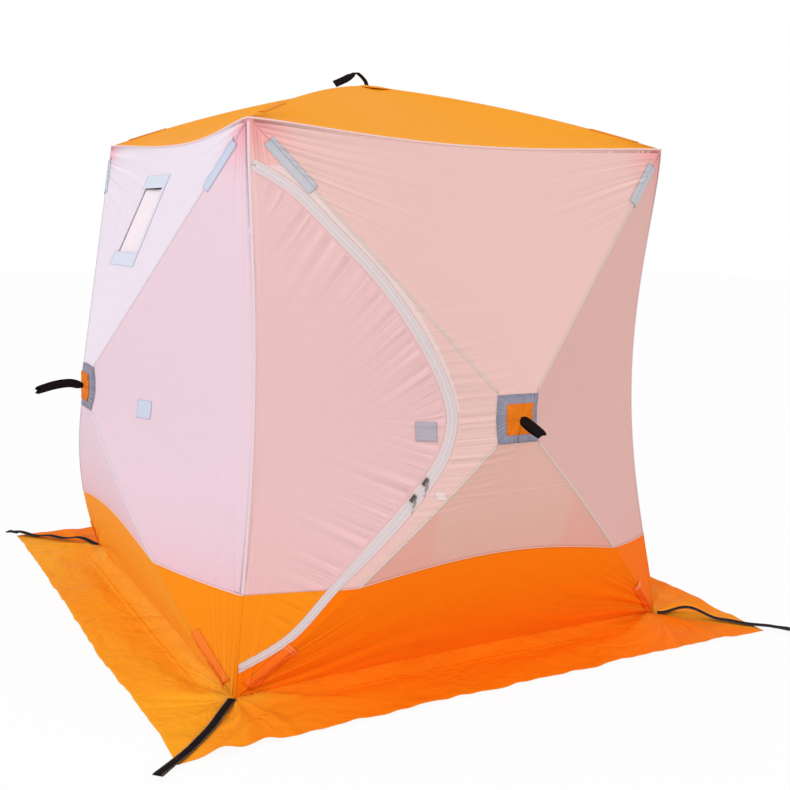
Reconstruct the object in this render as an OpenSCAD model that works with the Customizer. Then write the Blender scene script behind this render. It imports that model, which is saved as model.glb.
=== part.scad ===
/* [Shelter] */
// Width of the footprint between the bottom corners
base_w = 1800; // [1600:10:2200]
// Width between the top corners
top_w = 1672; // [1500:4:2000]
// Height of the top corners
corner_h = 1850; // [1600:10:2100]
// Rise of the roof's hub above the top corners
roof_rise = 240; // [150:5:350]
// Height of the wall hubs
hub_h = 916; // [820:2:1020]
// Reach of a wall's hub beyond the plane through the wall's corners
hub_out = 288; // [200:4:400]

/* [Fabric] */
// Thickness of the fabric
fabric_t = 2; // [1:0.5:4]
// Thickness of patches, tapes and strips sewn on the fabric
patch_t = 1.5; // [0.5:0.25:3]
// Pull of a corner seam towards the middle of the shelter, at half height
corner_sag = 100; // [40:2:140]
// Pull of an eave towards the middle of the shelter
eave_sag = 58; // [20:2:90]
// Drop of an eave between its corners
eave_drop = 33; // [10:1:60]
// Height of the lower band at the corners
band_h = 335; // [250:5:420]
// Extra height of the lower band below a hub
band_rise = 100; // [0:5:140]

/* [Skirt] */
// Width of the skirt on the ground
skirt_w = 325; // [200:5:450]
// Thickness of the skirt
skirt_t = 3; // [1:0.5:5]
// Overlap of the skirt inside the wall's hem
skirt_lap = 12; // [6:1:40]

/* [Door] */
// Running gap round the door flap
door_gap = 5; // [3:0.5:10]
// Width of one zip tape
tape_w = 20; // [12:1:30]
// Side of the square patch for a door tie
tie_w = 64; // [40:1:90]

/* [Window] */
// Width of the window opening
window_w = 200; // [140:2:260]
// Height of the window opening, measured upright
window_h = 246; // [160:2:300]
// Distance of the window's middle below the top corners
window_drop = 318; // [270:2:400]
// Distance of the window's middle behind the middle of its wall
window_back = 112; // [0:2:140]
// Width of the border along the sides of the window
border_side = 32; // [15:1:60]
// Width of the border over and under the window
border_end = 50; // [20:1:70]

/* [Frame] */
// Diameter of a pole
pole_d = 10; // [8:0.5:13]
// Outward bow of the lower wall poles
pole_bow = 45; // [20:1:70]
// Outward bow of a roof pole's middle
roof_bow = 25; // [10:1:40]
// Diameter of a hub's plate
hub_d = 68; // [50:1:74]
// Thickness of a hub's plate
hub_t = 16; // [12:0.5:24]
// Diameter of a hub's pins
pin_d = 4; // [3:0.25:6]

/* [Straps] */
// Width of the pull strap on a hub
pull_w = 30; // [15:1:40]
// Length of the pull strap on a wall hub
pull_len = 182; // [100:2:260]
// Thickness of the webbing
web_t = 2.4; // [1:0.2:4]
// Width of a corner strap
corner_strap_w = 30; // [20:1:50]
// Length of the peg loop beyond the skirt
loop_len = 66; // [40:1:100]

/* [Hidden] */
$fn = 48;

// Clearance between pieces that lie on each other, and gap in a sewn seam
seat = 0.3;
seam = 0.4;
// Clearance of the hub patches and window borders over the folded fabric under them
patch_lift = 0.9;
// Overrun of cuts past a face
over = 20;
// Gap in the fabric round a hub's plate, and reach of the centre and outer patches beyond the plate
hub_clear = 3.6;
centre_lap = 18;
patch_lap = 47;
// Shares along an upper ridge and a lower ridge that the pole pockets cover
eave_strip_shares = [0.775, 0.93];
foot_strip_shares = [0.815, 0.95];
// Half width of a pole pocket at the eave and at the foot
strip_half = 19;
foot_half = 14;
// Share of a ridge at which its pole ends
pole_end_share = 0.965;
// Exponent of the sag curves, as a share of a parabola's
sag_share = 1.5;
// Shares of the corner seam at which the zip starts and ends
zip_top_share = 0.928;
zip_foot_share = 0.052;
// The zip's line from top to foot, as shares of half the base and of the corner height
zip_x_shares = [-0.787, -0.650, -0.511, -0.394, -0.298, -0.247, -0.238, -0.278, -0.384, -0.522,
                -0.667, -0.820];
zip_z_shares = [0.8865, 0.819, 0.7465, 0.669, 0.589, 0.527, 0.481, 0.4243, 0.354, 0.278,
                0.2011, 0.1135];
// Shares of the zip beside the hub, at its ends beyond the corners, and across one seam, and the most
// of the fabric beside the zip that its tape takes up
zip_hub_shares = [0.46, 0.60];
zip_end_share = 0.03;
tape_share = 0.3;
zip_seam_share = 0.0004;
// Share of the corner seam between the zip's end and the fabric beyond it
zip_clear_share = 0.008;
// Places of the two sliders along the zip
slider_shares = [0.662, 0.692];
slider_l = 22;
slider_w = 12;
slider_h = 6;
slider_tab_l = 36;
slider_tab_w = 9;
slider_tab_t = 2.5;
// Places of the tie patches on the door and on the left wall: shares of half the base, drop below the hub
door_tie_share = 0.323;
wall_tie_share = 0.363;
tie_drop = 43;
// Width of the flap's blunt tips beside the corner seam
tip_w = 10;
// Length of fabric that the window's pane laps over, inside
pane_lap = 24;
// Inner pocket: drop of its top edge below the hub, distance from the ridges and above the band
pocket_drop = 256;
pocket_side = 26;
pocket_foot = 8;
// Depth of the hub's pins under the fabric, and their distance from the plate's rim
pin_depth = 10;
pin_out = 18;
// Hub fork: thickness of a cheek, half the slot, height; pole end: tongue, sleeve, cap
cheek_t = 3;
slot_half = 4.3;
tongue_half = 4;
cheek_h = 11;
sleeve_d = 13;
sleeve_l = 42;
sleeve_start = 12;
cap_d = 12;
cap_l = 34;
cap_clear = 3;
pin_clear = 0.1;
// Strap droop, roof strap's stand and fold
pull_droop = 24;
stand_h = 46;
fold_len = 92;
fold_drop = 16;
loop_h = 7;

half_base = base_w / 2;
half_top = top_w / 2;
hem_z = skirt_t + seat;
flat_y = -((half_base + half_top) / 2 + hub_out);
roof_z = corner_h + roof_rise;
inset = cap_d / 2 + cap_clear;
seam_v = 2 * seam / half_base;
hub_share = (hub_d / 2 + hub_clear) / half_top;
centre_share = (hub_d / 2 + centre_lap) / half_top;
patch_share = (hub_d / 2 + patch_lap) / half_top;
pin_r = hub_d / 2 + pin_out;
window_z = corner_h - window_drop;
pocket_z = hub_h - pocket_drop;
side_steps = 12;
out = [0, -1, 0];
up = [0, 0, 1];

function mix(a, b, k) = a + (b - a) * k;
function steps(n) = [for (i = [0 : n]) i / n];
function dip(t) = pow(max(0, 4 * t * (1 - t)), sag_share);
function root_of(f, lo, hi, n = 26) =
    n == 0 ? (lo + hi) / 2
    : let (m = (lo + hi) / 2) f(lo) * f(m) <= 0 ? root_of(f, lo, m, n - 1) : root_of(f, m, hi, n - 1);

// Edges of the front wall: corner seam, eave and hem, with t from 0 to 1 along each
function corner_half(t) = mix(half_base, half_top, t) - corner_sag * dip(t) / sqrt(2);
function seam_z(t) = mix(hem_z, corner_h, t);
function side_edge(t) = [corner_half(t), -corner_half(t), seam_z(t)];
function eave_edge(t) = [(2 * t - 1) * half_top, eave_sag * dip(t) - half_top, corner_h - eave_drop * dip(t)];
function hem_edge(t) = [(2 * t - 1) * half_base, -half_base, hem_z];

// A point of the front wall on the line from the hub to an edge, v from 0 to 1
function past_hub(v) = max(0, (v - hub_share) / (1 - hub_share));
function wall_y(edge, v, bow) =
    let (q = past_hub(v)) mix(flat_y, edge.y, q) - pole_bow * bow * 4 * q * (1 - q);
function wall_pt(edge, v, bow) = [v * edge.x, wall_y(edge, v, bow), mix(hub_h, edge.z, v)];
function side_bow(t) = pow(max(0, 1 - 2 * t), 2);
function side_pt(t, v) = wall_pt(side_edge(t), v, side_bow(t));
function eave_pt(t, v) = wall_pt(eave_edge(t), v, 0);
function hem_pt(t, v) = wall_pt(hem_edge(t), v, 1);
function roof_pt(t, v) =
    let (e = eave_edge(t), q = past_hub(v))
    [v * e.x, v * e.y, mix(roof_z, e.z, q) + roof_bow * pow(2 * t - 1, 2) * 4 * q * (1 - q)];

// The wall's depth at a place of its elevation, on a side panel and on the top panel
function side_t(x, z, t = 0.5, n = 9) =
    n == 0 ? t
    : side_t(x, z, (hub_h + (z - hub_h) / abs(x) * corner_half(t) - hem_z) / (corner_h - hem_z), n - 1);
function on_side(p) =
    let (t = side_t(p.x, p.y), v = abs(p.x) / corner_half(t))
    [p.x, wall_y(side_edge(t), v, side_bow(t)), p.y];
function eave_t(x, z, t = 0.5, n = 9) =
    n == 0 ? t
    : eave_t(x, z, (1 + x / (z - hub_h) * (eave_edge(t).z - hub_h) / half_top) / 2, n - 1);
function on_top(p) =
    let (e = eave_edge(eave_t(p.x, p.y)), v = (p.y - hub_h) / (e.z - hub_h)) [p.x, wall_y(e, v, 0), p.y];
function on_bottom(p) =
    let (v = (hub_h - p.y) / (hub_h - hem_z)) [p.x, wall_y(hem_edge(0), v, 1), p.y];

// The seam between the pale wall and the lower band
function band_z(x) = band_h + band_rise * pow(1 - pow(x / half_base, 2), 2);
function band_v(e, v = 0.6, n = 9) =
    n == 0 ? v : band_v(e, (hub_h - band_z(v * e.x)) / (hub_h - e.z), n - 1);
band_t = (band_h - hem_z) / (corner_h - hem_z);

// A sheet of fabric over rows of points, pushed out from them by a thickness
module sheet(rows, push, lift, t) {
    nr = len(rows);
    nc = len(rows[0]);
    n = nr * nc;
    inner = [for (r = rows) for (p = r) p + push * lift];
    outer = [for (p = inner) p + push * t];
    skin = [for (i = [0 : nr - 2]) for (j = [0 : nc - 2])
            let (a = i * nc + j, b = a + 1, c = a + nc, d = c + 1,
                 ridge = (rows[i][j] + rows[i + 1][j + 1] - rows[i][j + 1] - rows[i + 1][j]) * push)
            each ridge >= 0 ? [[a, b, d], [a, d, c]] : [[a, b, c], [b, d, c]]];
    far = [for (f = skin) [f[2] + n, f[1] + n, f[0] + n]];
    loop = concat([for (j = [0 : nc - 1]) j], [for (i = [1 : nr - 1]) i * nc + nc - 1],
                  [for (j = [nc - 2 : -1 : 0]) (nr - 1) * nc + j], [for (i = [nr - 2 : -1 : 1]) i * nc]);
    m = len(loop);
    rim = [for (k = [0 : m - 1]) let (a = loop[k], b = loop[(k + 1) % m])
           each [[b, a, a + n], [b, a + n, b + n]]];
    faces = concat(skin, far, rim);
    flip = cross(rows[0][1] - rows[0][0], rows[1][0] - rows[0][0]) * push < 0;
    polyhedron(concat(inner, outer), flip ? [for (f = faces) [f[2], f[1], f[0]]] : faces);
}

// Rows of a side panel between two shares of each line from the hub
function pale_ts() =
    concat([for (k = steps(4)) band_t * k], [for (k = steps(side_steps)) if (k > 0) mix(band_t, 1, k)]);
function pale_end(t) = (t < band_t ? band_v(side_edge(t)) : 1) - seam_v;
function hub_lines(end, n) = concat([hub_share], [for (k = steps(n)) mix(patch_share, end, k)]);
function pale_side_rows() =
    [for (t = pale_ts()) [for (v = hub_lines(pale_end(t), 6)) side_pt(t, v) + [seam, 0, 0]]];
function band_side_rows() =
    [for (k = steps(5)) let (t = mix(0, band_t, k * (1 - pow(2, -6))))
     [for (j = steps(4)) side_pt(t, mix(band_v(side_edge(t)) + seam_v / 4, 1 - seam_v, j)) + [seam, 0, 0]]];
function top_rows() =
    [for (t = steps(side_steps + 2)) [for (v = [hub_share, 1 - seam_v]) eave_pt(t, v) + [0, 0, seam]]];
function pale_bottom_rows() =
    [for (t = steps(10))
     [for (v = hub_lines(band_v(hem_edge(t)) - seam_v / 2, 7)) hem_pt(t, v) - [0, 0, seam]]];
function band_bottom_rows() =
    [for (t = steps(10))
     [for (k = steps(5)) hem_pt(t, mix(band_v(hem_edge(t)) + seam_v / 4, 1, k))]];

// The front wall, facing -Y, turned to the other sides
module facing(side) rotate([0, 0, side]) children();
module both_halves() {
    children();
    mirror([1, 0, 0]) children();
}
module panel(rows) sheet(rows, out, 0, fabric_t);

module pale_wall(window) {
    difference() {
        panel(top_rows());
        if (window) window_cut();
    }
    both_halves() panel(pale_side_rows());
    panel(pale_bottom_rows());
}
module band() {
    both_halves() panel(band_side_rows());
    panel(band_bottom_rows());
}

// The zip's line in the front wall's elevation
function seam_flat(t) = [-corner_half(t), seam_z(t)];
zip_knots = concat([seam_flat(zip_top_share)],
                   [for (i = [0 : len(zip_x_shares) - 1])
                    [zip_x_shares[i] * half_base, zip_z_shares[i] * corner_h]],
                   [seam_flat(zip_foot_share)]);
function spline(k, s) =
    let (n = len(k) - 1, i = min(floor(s * n), n - 1), f = s * n - i,
         a = k[max(i - 1, 0)], b = k[i], c = k[i + 1], d = k[min(i + 2, n)])
    (2 * b + (c - a) * f + (2 * a - 5 * b + 4 * c - d) * f * f + (3 * b - a - 3 * c + d) * f * f * f) / 2;
function zip_line(s) = spline(zip_knots, s);
function zip_side(s) =
    let (d = zip_line(min(1, s + zip_seam_share)) - zip_line(max(0, s - zip_seam_share)))
    [-d.y, d.x] / norm(d);
function zip_at(s, d) = zip_line(s) + zip_side(s) * d;

// Where the zip meets the band, and where the flap's tips end beside the corner seam
function seam_t(z) = (z - hem_z) / (corner_h - hem_z);
function tip_gap(s) = zip_line(s).x + corner_half(seam_t(zip_line(s).y)) - 2 * door_gap - tip_w;
zip_band_s = root_of(function(s) zip_line(s).y - band_z(zip_line(s).x), zip_hub_shares[1], 1);
flap_top_s = root_of(function(s) tip_gap(s), 0, zip_hub_shares[0]);
flap_foot_s = root_of(function(s) tip_gap(s), zip_hub_shares[1], 1);

// A row of points from the zip to another place, with the zip tape's edge as its second point
function zip_row(s, side, to) =
    let (a = zip_at(s, side * door_gap / 2),
         b = zip_at(s, side * min(door_gap / 2 + tape_w, norm(to - zip_line(s)) * tape_share)))
    concat([on_side(a)], [for (k = steps(3)) on_side(mix(b, to, k))]);

// Outline of the doorway in elevation: seam over the zip, ridges and hub
function flat_pt(e, v) = [-v * e.x - seam, mix(hub_h, e.z, v)];
ridge_band_v = band_v(side_edge(0));
function upper_rows() = concat(
    [for (k = steps(2)) if (k < 1)
     zip_row(k * zip_end_share, 1,
             flat_pt(side_edge(mix(zip_top_share + zip_clear_share, 1, k)), 1 - seam_v))],
    [for (k = steps(side_steps))
     zip_row(mix(zip_end_share, zip_hub_shares[0], k), 1, flat_pt(side_edge(1), mix(1 - seam_v, hub_share, k)))]);
function beside_hub_rows() =
    [for (k = steps(4))
     zip_row(mix(zip_hub_shares[0] + zip_seam_share, zip_hub_shares[1] - zip_seam_share, k), 1,
             flat_pt(side_edge(mix(1 - seam_v * 4, seam_v * 4, k)), hub_share))];
function lower_rows() =
    [for (k = steps(8))
     zip_row(mix(zip_hub_shares[1], zip_band_s - zip_seam_share, k), 1,
             flat_pt(side_edge(0), mix(hub_share, ridge_band_v - seam_v, k)))];
function foot_rows() = concat(
    [for (k = steps(8)) if (k < 1)
     zip_row(mix(zip_band_s, 1 - zip_end_share, k), 1,
             flat_pt(side_edge(0), mix(ridge_band_v, 1 - seam_v, k)))],
    [for (k = steps(2))
     zip_row(mix(1 - zip_end_share, 1, k), 1,
             flat_pt(side_edge(mix(0, zip_foot_share - zip_clear_share, k)), 1 - seam_v))]);

// The flap from its zip to the corner seam that it hangs from
function flap_edge(t) = let (e = side_edge(t)) [seam - e.x, e.z];
function flap_tip_t(s) = seam_t(zip_at(s, -door_gap / 2).y);
function flap_rows() =
    [for (k = steps(22)) zip_row(mix(flap_top_s, zip_band_s - zip_seam_share, k), -1,
                                 flap_edge(mix(flap_tip_t(flap_top_s), band_t + zip_seam_share, k)))];
function flap_band_rows() =
    [for (k = steps(7)) zip_row(mix(zip_band_s, flap_foot_s, k), -1,
                                flap_edge(mix(band_t, flap_tip_t(flap_foot_s), k)))];
function tape_rows(rows) = [for (r = rows) [r[0], r[1]]];

module front_wall() color("mistyrose") {
    panel(top_rows());
    panel(pale_side_rows());
    panel(pale_bottom_rows());
}
module front_doorway() color("mistyrose") {
    panel(upper_rows());
    panel(beside_hub_rows());
    panel(lower_rows());
}
module front_band() color("darkorange") {
    panel(band_side_rows());
    panel(band_bottom_rows());
    panel(foot_rows());
}
module left_wall() color("lavenderblush") facing(-90) pale_wall(true);
module left_band() color("orange") facing(-90) band();
module back_wall() color("mistyrose") facing(180) pale_wall(false);
module back_band() color("darkorange") facing(180) band();
module right_wall() color("lavenderblush") facing(90) mirror([1, 0, 0]) pale_wall(true);
module right_band() color("orange") facing(90) band();

// The roof's four panels, from the hub to the eaves
roof_lines = concat([hub_share, patch_share, mix(patch_share, eave_strip_shares[0], 1 / 2)],
                    eave_strip_shares, [1 - seam_v]);
module roof() color("orange")
    for (side = [0, 90, 180, 270])
        facing(side)
            sheet([for (t = steps(side_steps + 2)) [for (v = roof_lines) roof_pt(t, v) - [0, seam, 0]]],
                  up, 0, fabric_t);

// One side of the skirt, mitred at the corners
module skirt() {
    near = half_base - skirt_lap;
    far = half_base + skirt_w;
    linear_extrude(skirt_t)
        polygon([[seam - near, -near], [near - seam, -near], [far - seam, -far], [seam - far, -far]]);
}
module front_skirt() color("darkorange") skirt();
module left_skirt() color("darkorange") facing(-90) skirt();
module back_skirt() color("darkorange") facing(180) skirt();
module right_skirt() color("darkorange") facing(90) skirt();

// The door flap and its zip
module door_flap() color("mistyrose") panel(flap_rows());
module door_flap_band() color("darkorange") panel(flap_band_rows());
module tape(rows) sheet(tape_rows(rows), out, fabric_t + seat, patch_t);
module door_zip() color("white") tape(concat(flap_rows(), flap_band_rows()));
module wall_zip() color("white")
    tape(concat(upper_rows(), beside_hub_rows(), lower_rows(), foot_rows()));
zip_top = fabric_t + patch_t + 2 * seat;
module slider(s) {
    length = norm(zip_line(s + zip_seam_share) - zip_line(s));
    reach = zip_seam_share * slider_l / length / 2;
    near = -door_gap / 2 - seat;
    sheet([for (k = [s - reach, s + reach]) [for (d = [near, near - slider_w]) on_side(zip_at(k, d))]],
          out, zip_top, slider_h);
    hang = zip_at(s, near - slider_w / 2);
    sheet([for (z = [hang.y, hang.y - slider_tab_l])
           [for (x = [-1, 1]) on_side([hang.x + x * slider_tab_w / 2, z])]],
          out, zip_top + slider_h + seat, slider_tab_t);
}
module zip_sliders() color("silver") for (s = slider_shares) slider(s);

// Square patches that hold the door's ties
module tie_patch(x_share) {
    middle = [-x_share * half_base, hub_h - tie_drop];
    sheet([for (z = [-1, 0, 1]) [for (x = [-1, 0, 1]) on_side(middle + [x, z] * tie_w / 2)]],
          out, fabric_t + 2 * seat, patch_t);
}
module door_tie_patch() color("lightsteelblue") tie_patch(door_tie_share);
module wall_tie_patch() color("lightsteelblue") facing(-90) mirror([1, 0, 0]) tie_patch(wall_tie_share);

// The window: cut, border outside and pane inside
module window_block(grow_x, grow_z) {
    size_x = window_w + 2 * grow_x;
    size_z = window_h + 2 * grow_z;
    translate([-window_back - size_x / 2, flat_y - over, window_z - size_z / 2])
        cube([size_x, hub_out - flat_y, size_z]);
}
module window_cut() window_block(0, 0);
function window_rows(grow_x, grow_z) =
    [for (i = steps(3)) [for (j = steps(6))
     on_top([mix(-1, 1, j) * (window_w / 2 + grow_x) - window_back,
             mix(-1, 1, i) * (window_h / 2 + grow_z) + window_z])]];
module window_border() difference() {
    sheet(window_rows(border_side, border_end), out, fabric_t + patch_lift, patch_t);
    window_cut();
}
module window_pane() sheet(window_rows(pane_lap, pane_lap), out, -patch_t - 2 * seat, patch_t);
module left_window_border() color("lightsteelblue") facing(-90) window_border();
module left_window_pane() color("seashell") facing(-90) window_pane();
module right_window_border() color("lightsteelblue") facing(90) mirror([1, 0, 0]) window_border();
module right_window_pane() color("seashell") facing(90) mirror([1, 0, 0]) window_pane();

// Square patches over the hubs, as a grid from -1 to 1 each way
function toward(a, b) = (1 + (b == 0 ? 0 : a / abs(b))) / 2;
function patch_pt(a, b, share) =
    let (v = share * max(abs(a), abs(b)))
    abs(b) >= abs(a) ? (b < 0 ? hem_pt(toward(a, b), v) : eave_pt(toward(a, b), v))
    : let (p = side_pt(toward(b, a), v)) [a < 0 ? -p.x : p.x, p.y, p.z];
function patch_lines(share) =
    let (h = hub_share / share, half = [0, h, (1 + h) / 2, 1])
    concat([for (i = [3 : -1 : 1]) -half[i]], half);
function patch_rows(share) =
    [for (b = patch_lines(share)) [for (a = patch_lines(share)) patch_pt(a, b, share)]];
module four_walls() for (side = [0, 90, 180, 270]) facing(side) children();
module hub_patches() color("lightslategray") four_walls()
    sheet(patch_rows(patch_share), out, fabric_t + patch_lift, patch_t);
module hub_centres() color("darkorange") four_walls()
    sheet(patch_rows(centre_share), out, fabric_t + patch_t + patch_lift + 2 * seat, patch_t);
function roof_patch_pt(a, b) =
    let (m = max(abs(a), abs(b)), p = roof_pt(toward(min(abs(a), abs(b)), m), patch_share * m),
         far = m == 0 ? 0 : abs(p.y) / m)
    [a * far, b * far, p.z];
function roof_patch_rows() =
    [for (b = patch_lines(patch_share)) [for (a = patch_lines(patch_share)) roof_patch_pt(a, b)]];
module roof_patch() color("orange") sheet(roof_patch_rows(), up, fabric_t + patch_lift, patch_t);

// Pole pockets along the ridges near the corners
function across(half, span, v) = [half / (span * v), half / (2 * span * v)];
function eave_strip_row(v) = let (a = across(strip_half, top_w, v), b = across(strip_half, corner_h, v))
    [eave_pt(1 - a[0], v), eave_pt(1 - a[1], v), eave_pt(1, v), side_pt(1 - b[1], v), side_pt(1 - b[0], v)];
function foot_strip_row(v) = let (a = across(foot_half, base_w, v), b = across(foot_half, corner_h, v))
    [hem_pt(1 - a[0], v), hem_pt(1 - a[1], v), hem_pt(1, v), side_pt(b[1], v), side_pt(b[0], v)];
function roof_strip_row(v) =
    let (a = across(strip_half, top_w, v), p = [for (k = [a[0], a[1], 0]) roof_pt(1 - k, v)])
    concat(p, [for (i = [1, 0]) [-p[i].y, -p[i].x, p[i].z]]);
function strip_rows(shares, row) = [for (k = steps(3)) row(mix(shares[0], shares[1], k))];
strip_lift = fabric_t + 2 * seat;
module eave_strips() color("lightsteelblue") four_walls() both_halves()
    sheet(strip_rows(eave_strip_shares, function(v) eave_strip_row(v)), out, strip_lift, patch_t);
module foot_strips() color("chocolate") four_walls() both_halves()
    sheet(strip_rows(foot_strip_shares, function(v) foot_strip_row(v)), out, strip_lift, patch_t);
module roof_strips() color("darkorange") four_walls()
    sheet(strip_rows(eave_strip_shares, function(v) roof_strip_row(v)), up, strip_lift, patch_t);

// A hub: plate with four forks, drawn with its outside up; turns are the poles' directions
module fork() {
    for (side = [-1, 1])
        translate([0, side * (slot_half + cheek_t / 2), -pin_depth])
            difference() {
                union() {
                    rotate([90, 0, 0]) cylinder(d = cheek_h, h = cheek_t, center = true);
                    translate([-pin_r / 2, 0, 0]) cube([pin_r, cheek_t, cheek_h], center = true);
                }
                rotate([90, 0, 0]) cylinder(d = pin_d + 2 * pin_clear, h = over, center = true);
            }
}
module hub(turns) {
    difference() {
        union() {
            translate([0, 0, -hub_t]) cylinder(d = hub_d, h = hub_t + fabric_t);
            for (a = turns) rotate([0, 0, a]) translate([pin_r, 0, 0]) fork();
        }
        for (a = turns)
            rotate([0, 0, a])
                translate([pin_r - cheek_h, -slot_half, -pin_depth - over / 2])
                    cube([over, 2 * slot_half, over]);
    }
    for (a = turns)
        rotate([0, 0, a]) translate([pin_r, 0, -pin_depth])
            rotate([90, 0, 0]) cylinder(d = pin_d, h = 2 * (slot_half + cheek_t), center = true);
}

// A pole in the plane of its hub's axis and its ridge: reach is along the ridge, sink is inward
module pole(turn, reach, sink, bow) {
    run = reach - pin_r;
    fall = sink - pin_depth;
    chord = norm([run, fall]);
    tilt = atan2(fall, run);
    lean = bow > 0 ? 2 * atan2(2 * bow, chord) : 0;
    rotate([0, 0, turn]) translate([pin_r, 0, -pin_depth]) rotate([0, 90 + tilt, 0]) {
        rotate([0, -lean, 0]) pole_root();
        if (bow > 0) bowed_rod(chord, bow, lean);
        else translate([0, 0, sleeve_start]) cylinder(d = pole_d, h = chord - sleeve_start);
        translate([0, 0, chord]) rotate([0, lean, 0]) translate([0, 0, -cap_l]) {
            cylinder(d = cap_d, h = cap_l);
            translate([0, 0, cap_l]) sphere(d = cap_d);
        }
    }
}
module pole_root() {
    difference() {
        union() {
            rotate([90, 0, 0]) cylinder(d = cheek_h - 2 * seat, h = 2 * tongue_half, center = true);
            translate([0, 0, sleeve_start / 2])
                cube([cheek_h - 2 * seat, 2 * tongue_half, sleeve_start], center = true);
            translate([0, 0, sleeve_start]) cylinder(d = sleeve_d, h = sleeve_l);
        }
        rotate([90, 0, 0]) cylinder(d = pin_d + 2 * pin_clear, h = over, center = true);
    }
}
module bowed_rod(chord, bow, lean) {
    radius = (chord * chord / 4 + bow * bow) / (2 * bow);
    start = asin(sleeve_start / radius);
    translate([radius - bow, 0, chord / 2])
        rotate([90, 0, 180]) rotate([0, 0, start - lean]) rotate_extrude(angle = 2 * lean - start)
            translate([radius, 0]) circle(d = pole_d);
}
function turn_of(e) = atan2(e.z - hub_h, e.x);
function reach_of(e) = pole_end_share * norm([e.x, e.z - hub_h]);
function sink_of(e, bow) = wall_y(e, pole_end_share, bow) - flat_y + inset;
low = side_edge(0);
high = side_edge(1);
wall_turns = [turn_of(low), turn_of(high), 180 - turn_of(low), 180 - turn_of(high)];
module on_wall() translate([0, flat_y, hub_h]) rotate([90, 0, 0]) children();
module wall_poles() on_wall()
    both_halves() {
        pole(turn_of(high), reach_of(high), sink_of(high, 0), 0);
        pole(turn_of(low), reach_of(low), sink_of(low, 1), pole_bow * pow(past_hub(pole_end_share), 2));
    }
module wall_hub() on_wall() hub(wall_turns);
module front_hub() color("dimgray") wall_hub();
module left_hub() color("dimgray") facing(-90) wall_hub();
module back_hub() color("dimgray") facing(180) wall_hub();
module right_hub() color("dimgray") facing(90) wall_hub();
module front_poles() color("slategray") wall_poles();
module left_poles() color("slategray") facing(-90) wall_poles();
module back_poles() color("slategray") facing(180) wall_poles();
module right_poles() color("slategray") facing(90) wall_poles();
roof_turns = [45 : 90 : 315];
module roof_hub() color("dimgray") translate([0, 0, roof_z]) hub(roof_turns);
module roof_poles() color("slategray") translate([0, 0, roof_z])
    for (a = roof_turns)
        pole(a, pole_end_share * half_top * sqrt(2), roof_z - roof_pt(1, pole_end_share).z + inset,
             roof_bow * pow(past_hub(pole_end_share), 2));

// Webbing: a ribbon along points in its side view
module ribbon(line, width) {
    n = len(line) - 1;
    sides = [for (i = [0 : n])
             let (d = line[min(n, i + 1)] - line[max(0, i - 1)]) [-d.y, d.x] / norm(d) * web_t / 2];
    rotate([90, 0, 0]) linear_extrude(width, center = true)
        polygon(concat([for (i = [0 : n]) line[i] + sides[i]], [for (i = [n : -1 : 0]) line[i] - sides[i]]));
}
pull_start = fabric_t + 2 * patch_t + patch_lift + 3 * seat;
module pull_straps() color("black") four_walls()
    translate([0, flat_y - pull_start, hub_h]) rotate([0, 0, -90])
        ribbon([for (k = steps(10)) [k * pull_len, -pull_droop * k * k]], pull_w);
module roof_strap() color("black") translate([0, 0, roof_z + fabric_t + patch_lift + patch_t + seat])
    ribbon(concat([for (k = steps(4)) [0, k * stand_h]],
                  [for (k = steps(6)) if (k > 0)
                   [-fold_len * k, stand_h + fold_drop * sin(180 * k) - (stand_h - fold_drop) * k * k]]), pull_w);
module corner_straps() color("black")
    for (a = [45 : 90 : 315])
        rotate([0, 0, a]) {
            tip = (half_base + skirt_w) * sqrt(2);
            start = half_base * sqrt(2) + corner_strap_w / 2;
            translate([0, 0, skirt_t + seat]) rotate([90, 0, 0])
                linear_extrude(corner_strap_w, center = true) {
                    translate([start, 0]) square([tip + web_t - start, web_t]);
                    translate([tip, 0]) difference() {
                        square([loop_len, loop_h]);
                        translate([web_t, web_t]) square([loop_len - 2 * web_t, loop_h - 2 * web_t]);
                    }
                }
        }

// Flat pocket inside the front wall, over the lower band
module inner_pocket() color("mistyrose") {
    mid = half_base * (hub_h - pocket_z) / (hub_h - hem_z) - pocket_side;
    sheet([for (t = steps(4)) let (s = mix(-1, 1, t), x = s * (mid + pocket_side))
           [for (k = steps(3)) on_bottom(mix([s * mid, pocket_z], [x, band_z(x) + pocket_foot], k))]],
          out, -patch_t - 2 * seat, patch_t);
}

front_wall();
front_doorway();
front_band();
left_wall();
left_band();
back_wall();
back_band();
right_wall();
right_band();
roof();
front_skirt();
left_skirt();
back_skirt();
right_skirt();
door_flap();
door_flap_band();
door_zip();
wall_zip();
zip_sliders();
door_tie_patch();
wall_tie_patch();
left_window_border();
left_window_pane();
right_window_border();
right_window_pane();
hub_patches();
hub_centres();
roof_patch();
front_hub();
left_hub();
back_hub();
right_hub();
roof_hub();
front_poles();
left_poles();
back_poles();
right_poles();
roof_poles();
eave_strips();
foot_strips();
roof_strips();
pull_straps();
roof_strap();
corner_straps();
inner_pocket();
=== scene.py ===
"""Pop-up ice fishing shelter: cloth, seams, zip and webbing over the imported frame."""
import logging
import math
from contextlib import contextmanager
from dataclasses import dataclass, replace
from enum import Enum
from typing import Callable, Iterator, Optional, Sequence, Union

import bpy
import numpy as np
from mathutils import Matrix, Vector


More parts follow.
